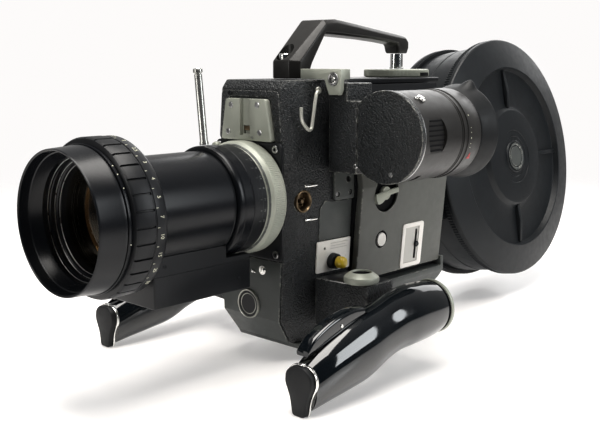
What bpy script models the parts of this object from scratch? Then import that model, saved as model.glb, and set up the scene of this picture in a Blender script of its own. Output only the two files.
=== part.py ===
"""A 16 mm cine camera: zoom lens with servo, front casting, body, finder, grips and film magazine.

Every size is in millimetres and becomes metres when a mesh is made. +X is the operator's left,
-Y points at the subject and +Z is up. The origin lies on the base plate's underside, between the
two tripod holes. The lens axis runs along Y at height LENS_Z.
"""

import math

import bmesh
import bpy
from mathutils import Matrix, Vector

MM = 0.001
GAP = 0.3  # clearance between neighbouring pieces

# Driving dimensions
LENS_Z = 102.6  # height of the lens axis over the base
HOOD_FRONT = -193.5
HOOD_R = 40.8
HOOD_LENGTH = 17.0
FOCUS_FRONT = -173.5
FOCUS_REAR = -152.1
FOCUS_R = 45.9
BARREL_R = 32.5
BARREL_REAR = -90.3
CORE_R = 30.0  # inner tube under the zoom, iris and lock rings
ZOOM_R = 35.4
LOCK_R = 36.9
LOCK_REAR = -51.0
LENS_BORE = 26.0
GLASS_R = 31.2
LENS_REAR = -43.0

CASTING_FRONT = -47.7
CASTING_REAR = 12.0
CASTING_HALF = 31.0  # half width of the front face
CASTING_SIDE = 36.9  # half width at the rear edge
CASTING_TOP = 177.8
CHIN_Z = 4.2
BROW_Z = 172.5  # the front face leans back above this height
BODY_REAR = 113.0
COVER_WIDEST = 45.0
COVER_THICK = 5.0
WIDEST_Z = 105.0
TOP_Z = 178.0
LATCH_Y = 40.0
LATCH_Z = 99.4
LATCH_TAB = [(-12.6, 0.2), (-12.5, -3.0), (-11.0, -6.2), (-9.0, -6.9), (-6.0, -6.2), (-3.0, -4.4)]
LATCH_TAB += [(-0.5, -1.7), (12.6, -0.2), (12.4, 3.0)]
RELEASE_Y = 38.3
RELEASE_Z = 66.7
SLIDER_Y = 79.6
SLIDER_Z = 57.6

GATE_Z = LENS_Z
SHUTTER_Z = 84.0
SHUTTER_R = 24.0

FINDER_X = 83.0
FINDER_Z = 143.1
FINDER_R = 29.0
FINDER_FLAT = 61.5  # the flat side of the D, against the arm
FINDER_FRONT = -13.5
FINDER_REAR = 31.5
FINDER_BORE = 20.0
EAR_LEAN = 15.0  # degrees the eyecup's ear leans outward from the top

GRIP_X = 93.6
GRIP_PIVOT_Y = 9.0
GRIP_PIVOT_Z = 30.6
GRIP_TIP = -97.2
BRACKET_TOP = 48.6
BRACKET_REAR = 9.0
TRIGGER_PIN_Y = -50.0
TRIGGER_PIN_Z = 39.0
KNOB_X = 65.7
KNOB_Y = -12.6
KNOB_R = 11.5

PILLAR_Y = 107.0
WHEEL_R = 24.7

MAG_Y = 234.0
MAG_Z = 104.6
MAG_TILT = math.radians(9.27)  # lines one chamber's top and the other's bottom up with the gate
MAG_R = 97.0
MAG_HALF = 24.5
RIM_R = 100.4
CORE_HUB_R = 25.0

ROUND = 36  # sides of a large turned piece
SMALL_ROUND = 20
DRUM_ROUND = 48


def material(name, colour, roughness, metallic=0.0):
    made = bpy.data.materials.new(name)
    made.use_nodes = True
    surface = made.node_tree.nodes["Principled BSDF"]
    surface.inputs["Base Color"].default_value = (*colour, 1.0)
    surface.inputs["Roughness"].default_value = roughness
    surface.inputs["Metallic"].default_value = metallic
    return made


def clear_scene():
    for item in list(bpy.data.objects):
        bpy.data.objects.remove(item)


# Mesh makers. Each returns a bmesh in millimetres.


def box(low, high):
    mesh = bmesh.new()
    bmesh.ops.create_cube(mesh, size=1.0)
    size = Vector(high) - Vector(low)
    middle = (Vector(high) + Vector(low)) / 2
    mesh.transform(Matrix.Translation(middle) @ Matrix.Diagonal((*size, 1.0)))
    return mesh


def loft(rings):
    """A skin through rings of equally many points, closed by a flat face at each end."""
    mesh = bmesh.new()
    loops = [[mesh.verts.new(point) for point in ring] for ring in rings]
    for low, high in zip(loops, loops[1:]):
        for i, corner in enumerate(low):
            j = (i + 1) % len(low)
            mesh.faces.new((corner, low[j], high[j], high[i]))
    mesh.faces.new(loops[0])
    mesh.faces.new(loops[-1])
    bmesh.ops.recalc_face_normals(mesh, faces=mesh.faces)
    return mesh


def prism(outline, across, low, high):
    """An outline drawn in the two axes other than `across`, extruded along `across`."""
    axis = "XYZ".index(across)

    def corner(point, level):
        values = list(point)
        values.insert(axis, level)
        return values

    return loft([[corner(point, level) for point in outline] for level in (low, high)])


def turned(profile, origin, direction, sides=ROUND):
    """A profile of (radius, distance along the axis) points turned round the axis.

    A profile that starts and ends on the axis makes a solid; any other is a closed ring.
    """
    mesh = bmesh.new()
    points = [mesh.verts.new((radius, 0.0, along)) for radius, along in profile]
    edges = [mesh.edges.new(pair) for pair in zip(points, points[1:])]
    if profile[0][0] > 0.0:
        edges.append(mesh.edges.new((points[-1], points[0])))
    bmesh.ops.spin(
        mesh,
        geom=points + edges,
        cent=(0.0, 0.0, 0.0),
        axis=(0.0, 0.0, 1.0),
        angle=2 * math.pi,
        steps=sides,
        use_merge=True,
    )
    bmesh.ops.remove_doubles(mesh, verts=mesh.verts, dist=1e-5)
    bmesh.ops.recalc_face_normals(mesh, faces=mesh.faces)
    turn = Vector((0.0, 0.0, 1.0)).rotation_difference(Vector(direction)).to_matrix().to_4x4()
    mesh.transform(Matrix.Translation(Vector(origin)) @ turn)
    return mesh


def rod(start, end, radius, sides=SMALL_ROUND):
    length = (Vector(end) - Vector(start)).length
    profile = [(0.0, 0.0), (radius, 0.0), (radius, length), (0.0, length)]
    return turned(profile, start, Vector(end) - Vector(start), sides)


def about_lens(profile, sides=ROUND):
    """A turned piece on the lens axis; distances along it are Y values."""
    return turned(profile, (0.0, 0.0, LENS_Z), (0.0, 1.0, 0.0), sides)


# Object makers.


def add(name, mesh, look, pivot=(0.0, 0.0, 0.0), parent=None, bevel=0.0, steps=1):
    """Makes the object with its origin at pivot, in millimetres of its parent's frame."""
    mesh.transform(Matrix.Translation(-Vector(pivot)))
    mesh.transform(Matrix.Scale(MM, 4))
    data = bpy.data.meshes.new(name)
    mesh.to_mesh(data)
    mesh.free()
    data.materials.append(look)
    data.shade_smooth()
    data.set_sharp_from_angle(angle=math.radians(35))
    made = bpy.data.objects.new(name, data)
    made.location = Vector(pivot) * MM
    made.parent = parent
    bpy.context.scene.collection.objects.link(made)
    if bevel:
        rounding = made.modifiers.new("edges", "BEVEL")
        rounding.width = bevel * MM
        rounding.segments = steps
        rounding.limit_method = "ANGLE"
        rounding.angle_limit = math.radians(32)
        rounding.use_clamp_overlap = True
    return made


def combine(target, operation, *meshes):
    """Cuts each mesh out of the target, or joins it on, leaving a hidden helper object."""
    for number, mesh in enumerate(meshes):
        mesh.transform(Matrix.Translation(-target.location / MM))
        mesh.transform(Matrix.Scale(MM, 4))
        label = f"{target.name}.{operation.lower()}.{len(target.modifiers)}.{number}"
        data = bpy.data.meshes.new(label)
        mesh.to_mesh(data)
        mesh.free()
        helper = bpy.data.objects.new(label, data)
        helper.location = target.location
        helper.parent = target.parent
        helper.hide_render = True
        helper.display_type = "WIRE"
        bpy.context.scene.collection.objects.link(helper)
        step = target.modifiers.new(operation.lower(), "BOOLEAN")
        step.operation = operation
        step.object = helper


def cut(target, *meshes):
    combine(target, "DIFFERENCE", *meshes)


def join(target, *meshes):
    combine(target, "UNION", *meshes)


def mirrored(points):
    """Points of a right-hand half outline followed by their mirror images, as one loop."""
    return points + [(-x, y) for x, y in reversed(points)]


def between(value, table):
    """Reads a table of (key, value) pairs by straight-line interpolation."""
    for (low, first), (high, second) in zip(table, table[1:]):
        if value <= high:
            share = (value - low) / (high - low)
            return first + (second - first) * share
    return table[-1][1]


# The body narrows towards its top and its base.
CASTING_TAPER = [(CHIN_Z, 0.8), (22.0, 0.88), (107.0, 1.0), (CASTING_TOP, 0.86)]
COVER_TAPER = [(36.0, 38.9), (WIDEST_Z, COVER_WIDEST), (174.0, 38.4)]


def casting_side(y, z):
    """Half width of the front casting's side wall."""
    back = (y - CASTING_FRONT - 8.2) / (CASTING_REAR - CASTING_FRONT - 8.2)
    return (34.6 + (CASTING_SIDE - 34.6) * back) * between(z, CASTING_TAPER)


def cover_side(z):
    """Half width over the side covers."""
    return between(z, COVER_TAPER)


def slab(right, left, front, rear, z):
    """Four corners of a level rectangle."""
    return [(left, front, z), (right, front, z), (right, rear, z), (left, rear, z)]


def make_lens(looks):
    black, satin, light, chrome, glass = looks
    hood = [
        (HOOD_R, HOOD_FRONT),
        (HOOD_R + 1.1, HOOD_FRONT + HOOD_LENGTH),
        (35.2, HOOD_FRONT + HOOD_LENGTH),
        (35.2, HOOD_FRONT + 12.5),
        (38.4, HOOD_FRONT + 11.5),
        (HOOD_R - 1.4, HOOD_FRONT),
    ]
    add("lens_hood", about_lens(hood), satin, (0.0, HOOD_FRONT, LENS_Z))

    cell_front = HOOD_FRONT + HOOD_LENGTH + GAP
    cell = [
        (42.6, cell_front),
        (42.6, FOCUS_FRONT - GAP),
        (36.0, FOCUS_FRONT - GAP),
        (36.0, -158.0),
        (29.5, -158.0),
        (29.5, -160.0),
        (31.6, -160.0),
        (31.6, -169.5),
        (34.4, -172.2),
        (34.4, cell_front),
    ]
    add("front_cell", about_lens(cell), satin, (0.0, -158.0, LENS_Z))
    crown = [(r, -171.2 + 4.2 * (r / GLASS_R) ** 2) for r in (0.0, 11.0, 22.0, GLASS_R)]
    element = [*crown, (GLASS_R, -160.3), (0.0, -160.3)]
    add("front_glass", about_lens(element), glass, (0.0, -160.3, LENS_Z))

    focus = [
        (FOCUS_R - 1.2, FOCUS_FRONT),
        (FOCUS_R, FOCUS_FRONT + 1.4),
        (FOCUS_R, FOCUS_REAR - 1.8),
        (FOCUS_R - 1.8, FOCUS_REAR),
        (36.3, FOCUS_REAR),
        (36.3, FOCUS_FRONT),
    ]
    add("focus_ring", about_lens(focus), black, (0.0, FOCUS_REAR, LENS_Z))

    barrel = [
        (BARREL_R, -157.6),
        (BARREL_R, BARREL_REAR),
        (CORE_R, BARREL_REAR),
        (CORE_R, LOCK_REAR + 0.6),
        (22.5, LOCK_REAR + 0.6),
        (22.5, LENS_REAR),
        (19.0, LENS_REAR),
        (19.0, -60.0),
        (LENS_BORE, -62.0),
        (LENS_BORE, -157.6),
    ]
    add("lens_barrel", about_lens(barrel), satin, (0.0, BARREL_REAR, LENS_Z))

    inner = CORE_R + GAP
    zoom = [(33.6, -89.9), (ZOOM_R, -88.2), (ZOOM_R, -78.2), (inner, -78.2), (inner, -89.9)]
    add("zoom_ring", about_lens(zoom), black, (0.0, -84.0, LENS_Z))
    lean = math.radians(6.0)
    outward = Vector((-math.sin(lean), 0.0, math.cos(lean)))
    foot = Vector((0.0, -84.0, LENS_Z)) + outward * (ZOOM_R + GAP)
    handle = [(0.0, 0.0), (2.9, 0.0), (2.6, 3.0), (2.5, 44.5), (3.0, 45.0), (3.0, 47.0), (0.0, 47.6)]
    add("zoom_lever", turned(handle, foot, outward, 12), chrome, (0.0, -84.0, LENS_Z))

    iris = [(35.2, -77.9), (34.4, -66.0), (inner, -66.0), (inner, -77.9)]
    add("iris_ring", about_lens(iris), black, (0.0, -72.0, LENS_Z))
    lock = [
        (33.3, -65.7),
        (36.2, -62.1),
        (LOCK_R, -61.4),
        (LOCK_R - 1.0, LOCK_REAR),
        (inner, LOCK_REAR),
        (inner, -65.7),
    ]
    add("lens_lock_ring", about_lens(lock), light, (0.0, LOCK_REAR, LENS_Z))


def make_servo(looks):
    black, metal = looks
    half, low, front, rear = 22.5, 48.6, -145.8, -70.2
    side = [(front, low), (rear, low), (rear, 71.0), (-90.0, 71.0), (-90.0, 80.0), (front, 80.0)]
    servo = add("servo_box", prism(side, "X", -half, half), black, bevel=0.8)
    around_barrel = [(0.0, -152.0), (BARREL_R + GAP, -152.0), (BARREL_R + GAP, -60.0), (0.0, -60.0)]
    around_rings = [(0.0, -90.2), (ZOOM_R + GAP, -90.2), (ZOOM_R + GAP, -60.0), (0.0, -60.0)]
    cut(
        servo,
        about_lens(around_barrel),
        about_lens(around_rings),
        box((-19.5, -142.5, 51.5), (19.5, -95.0, 84.0)),
        box((-8.5, -96.0, 51.5), (8.5, -78.5, 72.0)),
    )
    motor = [(0.0, -139.0), (8.2, -139.0), (8.2, -99.0), (0.0, -99.0)]
    add("servo_motor", turned(motor, (0.0, 0.0, 60.5), (0.0, 1.0, 0.0), SMALL_ROUND), metal)
    pinion_z = LENS_Z - ZOOM_R - GAP - 6.0
    pinion = [(0.0, -98.6), (1.8, -98.6), (1.8, -89.0), (6.0, -89.0), (6.0, -80.0), (0.0, -80.0)]
    spindle = (0.0, 0.0, pinion_z)
    add("servo_pinion", turned(pinion, spindle, (0.0, 1.0, 0.0), SMALL_ROUND), metal, spindle)


def casting_plan(z):
    """The front casting's outline at a height, front edge first."""
    width = between(z, CASTING_TAPER)
    recess = between(z, [(CHIN_Z, 12.0), (22.0, 0.0), (BROW_Z, 0.0), (CASTING_TOP, 4.0)])
    half = [
        (CASTING_SIDE * width, CASTING_REAR),
        (34.6 * width, CASTING_FRONT + 8.2 + recess),
        (CASTING_HALF * width, CASTING_FRONT + recess),
    ]
    return [(x, y, z) for x, y in mirrored(half)]


def make_front(looks):
    crackle, paint, light, chrome, brass, pale, yellow, black = looks
    levels = [CHIN_Z, 22.0, 107.0, BROW_Z, CASTING_TOP]
    casting = add("front_casting", loft([casting_plan(z) for z in levels]), crackle, bevel=2.2, steps=2)
    port = [(0.0, CASTING_FRONT - 5.0), (23.5, CASTING_FRONT - 5.0), (23.5, -36.0), (0.0, -36.0)]
    socket_y, socket_z = -34.2, 100.8
    socket_x = casting_side(socket_y, socket_z)
    cut(
        casting,
        box((-26.0, -38.0, 52.0), (26.0, CASTING_REAR + 3.0, 140.0)),
        about_lens(port),
        rod((28.0, socket_y, socket_z), (45.0, socket_y, socket_z), 7.5),
    )
    cup = [(0.0, 5.8), (7.2, 5.8), (7.2, -0.8), (5.6, -0.8), (5.6, 4.0), (0.0, 4.0)]
    outside = (socket_x, socket_y, socket_z)
    add("side_socket", turned(cup, outside, (-1.0, 0.0, 0.0), SMALL_ROUND), brass, outside)

    plate_front = CASTING_FRONT - 2.2
    plate_back = CASTING_FRONT - GAP
    plate = box((-30.6, plate_front, 62.4), (30.6, plate_back, 138.6))
    mount_plate = add("mount_plate", plate, black, bevel=2.0)
    catch = Vector((-28.0, 0.0, 133.6))
    through = [(0.0, -55.0), (23.2, -55.0), (23.2, -45.0), (0.0, -45.0)]
    pocket = rod((catch.x, -60.0, catch.z), (catch.x, -40.0, catch.z), 3.6, 16)
    cut(mount_plate, about_lens(through), pocket)
    seat = plate_front - GAP
    button = [(0.0, -54.6), (2.6, -54.6), (3.3, -53.8), (3.3, seat), (0.0, seat)]
    add("lock_catch", turned(button, catch, (0.0, 1.0, 0.0), 16), light, (catch.x, seat, catch.z))

    back = CASTING_FRONT - 0.4
    sheet = [
        slab(half, -half, back + shift - 1.0, back + shift, z)
        for z, half, shift in ((4.8, 24.0, 11.4), (21.8, 26.4, 0.0), (61.8, 28.6, 0.0))
    ]
    add("front_panel", loft(sheet), paint)

    shoe_front, shoe_back = CASTING_FRONT - 4.5, CASTING_FRONT - GAP
    outline = [(-23.4, 139.2), (23.4, 139.2), (18.5, 166.0), (-18.5, 166.0)]
    shoe = add("accessory_shoe", prism(outline, "Y", shoe_front, shoe_back), light, bevel=1.0)
    cut(shoe, box((-5.0, shoe_front - 1.0, 142.5), (4.0, shoe_front + 2.4, 170.0)))

    label = []
    for z in (50.6, 72.0):
        near, far = -21.0, 11.0
        x0, x1 = casting_side(near, z) + 0.4, casting_side(far, z) + 0.4
        label.append([(x0, near, z), (x0 + 0.9, near, z), (x1 + 0.9, far, z), (x1, far, z)])
    add("label_plate", loft(label), pale)
    stem_y, stem_z = -6.0, 57.5
    press = [(0.0, 0.0), (3.4, 0.0), (3.4, 4.2), (4.0, 4.6), (4.0, 7.2), (2.8, 8.6), (0.0, 9.0)]
    stem_x = casting_side(stem_y, stem_z) + 3.6
    stem = (stem_x, stem_y, stem_z)
    add("record_button", turned(press, stem, (1.0, 0.0, 0.0), 20), yellow, stem)

    hook_y, hook_z, wire = -20.0, 169.0, 1.3
    x = casting_side(hook_y, hook_z) + wire + GAP
    route = [(0.6, -19.0, 171.0), (2.2, -23.0, 169.0), (2.4, -26.5, 150.0), (2.6, -27.5, 147.0)]
    route += [(2.8, -30.5, 146.0), (3.0, -36.0, 151.0), (3.2, -37.6, 154.0), (3.4, -38.0, 161.0)]
    curve = bpy.data.curves.new("tape_hook", "CURVE")
    curve.dimensions = "3D"
    curve.bevel_depth = wire * MM
    curve.bevel_resolution = 1
    curve.use_fill_caps = True
    curve.materials.append(chrome)
    line = curve.splines.new("POLY")
    line.points.add(len(route) - 1)
    for point, (out, y, z) in zip(line.points, route):
        point.co = ((x + out) * MM, y * MM, z * MM, 1.0)
    hook = bpy.data.objects.new("tape_hook", curve)
    bpy.context.scene.collection.objects.link(hook)


def make_inside(looks):
    metal, mirror, black = looks
    gate = add("film_gate", box((-20.0, -19.0, 88.0), (20.0, -16.0, 122.0)), metal)
    cut(gate, box((-5.2, -25.0, GATE_Z - 3.8), (5.2, -10.0, GATE_Z + 3.8)))
    centre = (0.0, 0.0, SHUTTER_Z)
    shutter = [(0.0, -30.0), (SHUTTER_R, -30.0), (SHUTTER_R, -28.6), (2.0, -28.6)]
    shutter += [(2.0, 30.0), (0.0, 30.0)]
    disc = add("mirror_shutter", turned(shutter, centre, (0.0, 1.0, 0.0)), mirror, centre)
    window = [(4.0, 2.0), (23.5, 14.0), (30.0, 30.0), (-30.0, 30.0), (-23.5, 14.0), (-4.0, 2.0)]
    opening = [(x, SHUTTER_Z + z + 1.5) for x, z in window]
    cut(disc, prism(opening, "Y", -31.0, -28.0))
    motor = [(0.0, 30.4), (6.0, 30.4), (6.0, 35.0), (15.0, 35.0), (15.0, 85.0), (0.0, 85.0)]
    add("drive_motor", turned(motor, centre, (0.0, 1.0, 0.0), SMALL_ROUND), black)


def make_body(looks):
    paint, warm, black, light, pale, dark = looks
    front = CASTING_REAR + GAP
    wall = COVER_THICK + GAP
    shell = [
        slab(cover_side(z) - wall, wall - cover_side(z), front, BODY_REAR, z)
        for z in (36.0, WIDEST_Z, 174.0)
    ]
    housing = add("body_housing", loft(shell), black)
    cut(
        housing,
        box((-29.0, front + 3.2, 42.0), (29.0, 110.0, 168.0)),
        box((20.0, 20.0, 50.0), (60.0, 104.0, 160.0)),
        box((-18.0, 0.0, 62.0), (18.0, 24.0, 130.0)),
        box((-9.0, 105.0, 92.0), (9.0, 120.0, 116.0)),
    )
    for name, side in (("side_cover_left", 1.0), ("side_cover_right", -1.0)):
        panel = [
            slab(cover_side(z) * side, (cover_side(z) - COVER_THICK) * side, front + 1.0, BODY_REAR, z)
            for z in (40.0, WIDEST_Z, 166.0)
        ]
        cover = add(name, loft(panel), warm, bevel=0.9)
        if side > 0:
            cut(
                cover,
                rod((41.2, LATCH_Y, LATCH_Z), (60.0, LATCH_Y, LATCH_Z), 13.2),
                rod((36.0, RELEASE_Y, RELEASE_Z), (60.0, RELEASE_Y, RELEASE_Z), 6.3),
                box((38.0, SLIDER_Y - 1.3, SLIDER_Z - 11.2), (60.0, SLIDER_Y + 1.3, SLIDER_Z + 11.2)),
            )

    foot = [slab(28.5, -28.5, -32.0, 85.0, 0.0), slab(29.5, -29.5, -33.6, 86.0, CHIN_Z - GAP)]
    plate = add("base_plate", loft(foot), paint)
    steps = ((2.0, 29.0, 86.0), (26.0, 37.0, 117.0), (32.0, 41.0, 117.0), (35.7, 41.0, 117.0))
    tray = [slab(half, -half, front, far, z) for z, half, far in steps]
    join(plate, loft(tray), box((-41.0, 113.4, 34.0), (41.0, 117.0, 43.0)))
    cut(
        plate,
        rod((0.0, 24.0, -5.0), (0.0, 24.0, 14.0), 4.2),
        rod((0.0, -16.0, -5.0), (0.0, -16.0, 8.0), 2.9, 16),
    )

    top = box((-27.0, front + 1.2, 174.0 + GAP), (27.0, 125.0, TOP_Z))
    add("top_plate", top, black, bevel=0.8)

    stub = rod((41.5, LATCH_Y, LATCH_Z), (44.6, LATCH_Y, LATCH_Z), 4.6, 16)
    lever = add("latch_lever", stub, light, (0.0, LATCH_Y, LATCH_Z))
    tab = [(LATCH_Y + y, LATCH_Z + z) for y, z in LATCH_TAB]
    join(lever, prism(tab, "X", 43.2, 45.8))
    press = (cover_side(RELEASE_Z), RELEASE_Y, RELEASE_Z)
    profile = [(0.0, -4.6), (4.9, -4.6), (4.9, 0.2), (4.3, 0.8), (0.0, 0.8)]
    add("release_button", turned(profile, press, (1.0, 0.0, 0.0), 20), pale, press)
    slider = (cover_side(SLIDER_Z), SLIDER_Y, SLIDER_Z)
    profile = [(0.0, -1.2), (1.0, -1.2), (1.0, 0.5), (2.2, 0.5), (2.2, 2.2), (0.0, 2.2)]
    add("slider_knob", turned(profile, slider, (1.0, 0.0, 0.0), 16), dark, slider)


def make_handle(looks):
    black, chrome, light = looks
    sections = [
        ((-19.0, 178.3), (-5.5, 178.3), 12.8),
        ((-19.0, 190.0), (-1.0, 188.5), 12.8),
        ((11.7, 217.4), (11.7, 207.9), 12.8),
        ((24.0, 218.2), (23.0, 207.7), 12.4),
        ((67.0, 213.4), (66.0, 206.0), 10.2),
        ((98.0, 210.0), (96.5, 203.2), 8.2),
        ((115.0, 207.0), (100.2, 201.5), 7.0),
        ((116.0, 195.8), (101.0, 195.8), 6.6),
    ]
    rings = []
    for outer, inner, half in sections:
        rings.append([(-half, *outer), (half, *outer), (half, *inner), (-half, *inner)])
    handle = add("handle", loft(rings), black, bevel=1.4, steps=2)
    cut(handle, rod((0.0, -12.5, 189.0), (0.0, -12.5, 225.0), 6.0))
    add("handle_screw", rod((0.0, -12.5, 189.3), (0.0, -12.5, 195.4), 4.2, 20), chrome)
    add("handle_pillar", rod((0.0, PILLAR_Y, 184.3), (0.0, PILLAR_Y, 195.5), 4.8, 20), chrome)
    wheel = [(0.0, 178.3), (WHEEL_R - 1.0, 178.3), (WHEEL_R, 179.0)]
    wheel += [(WHEEL_R, 183.4), (WHEEL_R - 0.8, 184.0), (0.0, 184.0)]
    hub = (0.0, PILLAR_Y, 0.0)
    add("handle_wheel", turned(wheel, hub, (0.0, 0.0, 1.0)), light, (0.0, PILLAR_Y, 181.0))
    strap = box((16.0, -17.4, CASTING_TOP + GAP + 0.1), (51.0, -8.0, 184.8))
    lug = add("lug_bracket", strap, light, bevel=0.6)
    hanging = [(36.2, 180.0), (51.0, 180.0), (51.0, 172.0), (50.2, 168.4), (40.4, 168.4)]
    join(lug, prism(hanging, "Y", -17.4, FINDER_FRONT - GAP))
    cut(lug, box((30.0, FINDER_FRONT - GAP, 160.0), (60.0, 0.0, 177.0)))
    cut(lug, rod((45.0, -20.0, 177.6), (45.0, -15.6, 177.6), 3.8, 16))


def make_finder(looks):
    crackle, black, rubber, glass = looks
    inner, outer = CASTING_SIDE + 0.6, FINDER_FLAT - GAP
    rear = CASTING_REAR
    block = box((inner, FINDER_FRONT, 118.5), (outer, rear, 165.0))
    arm = add("finder_arm", block, crackle, bevel=1.0)
    join(arm, box((inner, FINDER_FRONT, 160.0), (53.0, rear, 176.0)))
    axis = (FINDER_X, 0.0, FINDER_Z)
    pivot = (FINDER_FLAT, 0.0, FINDER_Z)
    along = (0.0, 1.0, 0.0)
    flat = ((FINDER_X - 50.0, -60.0, 80.0), (FINDER_FLAT, 90.0, 200.0))
    plate_rear = FINDER_FRONT + 3.0
    face = rod((FINDER_X, FINDER_FRONT, FINDER_Z), (FINDER_X, plate_rear, FINDER_Z), FINDER_R, ROUND)
    plate = add("finder_plate", face, crackle, pivot)
    cut(plate, box(*flat))
    front = plate_rear + GAP
    profile = [
        (0.0, front),
        (FINDER_R - 0.5, front),
        (FINDER_R - 0.5, FINDER_REAR),
        (FINDER_BORE, FINDER_REAR),
        (FINDER_BORE, 4.0),
        (0.0, 4.0),
    ]
    tube = add("finder_housing", turned(profile, axis, along), black, pivot)
    cut(tube, box(*flat))
    ring_front = FINDER_REAR + GAP
    ring = [(28.6, ring_front), (29.2, ring_front + 1), (29.2, 50.8), (28.0, 51.6)]
    ring += [(17.6, 51.6), (17.6, ring_front)]
    barrel_axis = (FINDER_X, 40.0, FINDER_Z)
    add("diopter_ring", turned(ring, axis, along), black, barrel_axis)
    lens = [(0.0, 43.5), (9.0, 44.0), (17.2, 45.6), (17.2, 48.0), (0.0, 48.0)]
    add("eyepiece_glass", turned(lens, axis, along, SMALL_ROUND), glass, barrel_axis)
    cup = [
        (26.6, 51.9),
        (28.4, 54.0),
        (29.6, 57.5),
        (31.4, 66.0),
        (31.6, 68.0),
        (29.8, 68.0),
        (26.0, 60.0),
        (21.0, 57.0),
        (20.0, 51.9),
    ]
    eyecup = add("eyecup", turned(cup, axis, along), rubber, (FINDER_X, 52.0, FINDER_Z))
    ear = [(-9.0, 26.5), (9.0, 26.5), (6.5, 33.4), (3.5, 35.6), (-3.5, 35.6), (-6.5, 33.4)]
    turn = math.radians(EAR_LEAN)
    lean = [(x * math.cos(turn) + z * math.sin(turn), z * math.cos(turn) - x * math.sin(turn)) for x, z in ear]
    lobe = [(FINDER_X + x, FINDER_Z + z) for x, z in lean]
    join(eyecup, prism(lobe, "Y", 63.0, 66.0))


GRIP_SECTIONS = [
    # y, height of the middle, half height, half width
    (GRIP_TIP, 7.0, 14.6, 10.4),
    (-84.0, 11.5, 17.0, 12.6),
    (-66.0, 16.5, 20.0, 14.5),
    (-48.0, 20.5, 22.0, 15.6),
    (-32.0, 26.0, 20.5, 15.2),
    (-16.0, 31.0, 19.8, 15.6),
    (0.0, 31.0, 21.0, 17.0),
    (14.0, 30.6, 22.5, 17.4),
    (26.0, 30.6, 22.0, 17.0),
    (34.0, 30.6, 19.5, 15.0),
]
TRIGGER_SECTIONS = [
    # y, underside, top
    (-99.5, 24.2, 26.2),
    (-90.0, 26.2, 35.0),
    (-75.0, 30.6, 41.6),
    (-58.0, 33.6, 45.0),
    (-46.0, 35.0, 44.4),
]
TRIGGER_LOW_X = 87.2
TRIGGER_HIGH_X = 96.2
TRIGGER_SLOT = [(-101.0, 19.9), (-90.0, 22.7), (-75.0, 28.0), (-58.0, 32.4), (-44.5, 34.2)]


def grip_mesh(side):
    rings = []
    for y, z, high, wide in GRIP_SECTIONS:
        angles = [2 * math.pi * i / 16 for i in range(16)]
        points = [(wide * math.cos(a), high * math.sin(a)) for a in angles]
        rings.append([(side * GRIP_X + across, y, z + up) for across, up in points])
    return loft(rings)


def make_grip(side, looks):
    """One bracket with its knob, grip, trigger and end pieces. side is +1 on the operator's left."""
    crackle, gloss, rubber, light = looks
    name = "left" if side > 0 else "right"

    bracket = []
    for x, front in ((34.4, -23.0), (75.2, -18.6)):
        corners = [(front, 16.0), (BRACKET_REAR, 16.0), (BRACKET_REAR, BRACKET_TOP), (front, BRACKET_TOP)]
        bracket.append([(side * x, y, z) for y, z in corners])
    add(f"grip_bracket_{name}", loft(bracket), crackle, bevel=1.2)

    foot = BRACKET_TOP + GAP
    knob = [(0.0, foot), (10.6, foot), (KNOB_R, foot + 1.0), (KNOB_R, foot + 5.0)]
    knob += [(6.8, foot + 9.4), (5.9, foot + 9.4), (5.4, foot + 6.6), (0.0, foot + 6.6)]
    hub = Vector((side * KNOB_X, KNOB_Y, 0.0))
    seat = hub + Vector((0.0, 0.0, foot))
    add(f"grip_knob_{name}", turned(knob, hub, (0.0, 0.0, 1.0), 24), light, seat)

    pivot = (side * GRIP_X, GRIP_PIVOT_Y, GRIP_PIVOT_Z)
    grip = add(f"grip_{name}", grip_mesh(side), gloss, pivot)
    near, far = side * (TRIGGER_LOW_X - 0.5), side * (TRIGGER_HIGH_X + 0.5)
    above = [(TRIGGER_SLOT[-1][0], 60.0), (TRIGGER_SLOT[0][0], 60.0)]
    cut(grip, prism(TRIGGER_SLOT + above, "X", min(near, far), max(near, far)))

    disc = [(0.0, 34.3), (20.4, 34.3), (21.0, 35.0), (21.0, 37.0), (19.6, 37.8), (0.0, 37.8)]
    axis = (side * GRIP_X, 0.0, 31.0)
    add(f"grip_disc_{name}", turned(disc, axis, (0.0, 1.0, 0.0), 32), light, pivot)

    outline = [(-4.6, -16.2), (4.6, -16.2), (6.4, -6.0), (10.4, 3.0), (9.6, 9.0), (5.0, 13.0)]
    outline += [(-5.0, 13.0), (-9.6, 9.0), (-10.4, 3.0), (-6.4, -6.0)]
    tip = [(side * GRIP_X + x, 7.6 + z) for x, z in outline]
    cap = prism(tip, "Y", GRIP_TIP - 5.0, GRIP_TIP - GAP)
    add(f"grip_cap_{name}", cap, rubber, pivot, bevel=0.8)

    # The trigger lies in a slot along the grip's upper side and turns on a pin near its rear end.
    low, high = side * TRIGGER_LOW_X, side * TRIGGER_HIGH_X
    lever = []
    for y, under, top in TRIGGER_SECTIONS:
        lever.append([(low, y, under), (high, y, under), (high, y, top), (low, y, top)])
    pin = (side * GRIP_X, TRIGGER_PIN_Y, TRIGGER_PIN_Z)
    add(f"trigger_{name}", loft(lever), gloss, pin, bevel=1.2)


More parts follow.
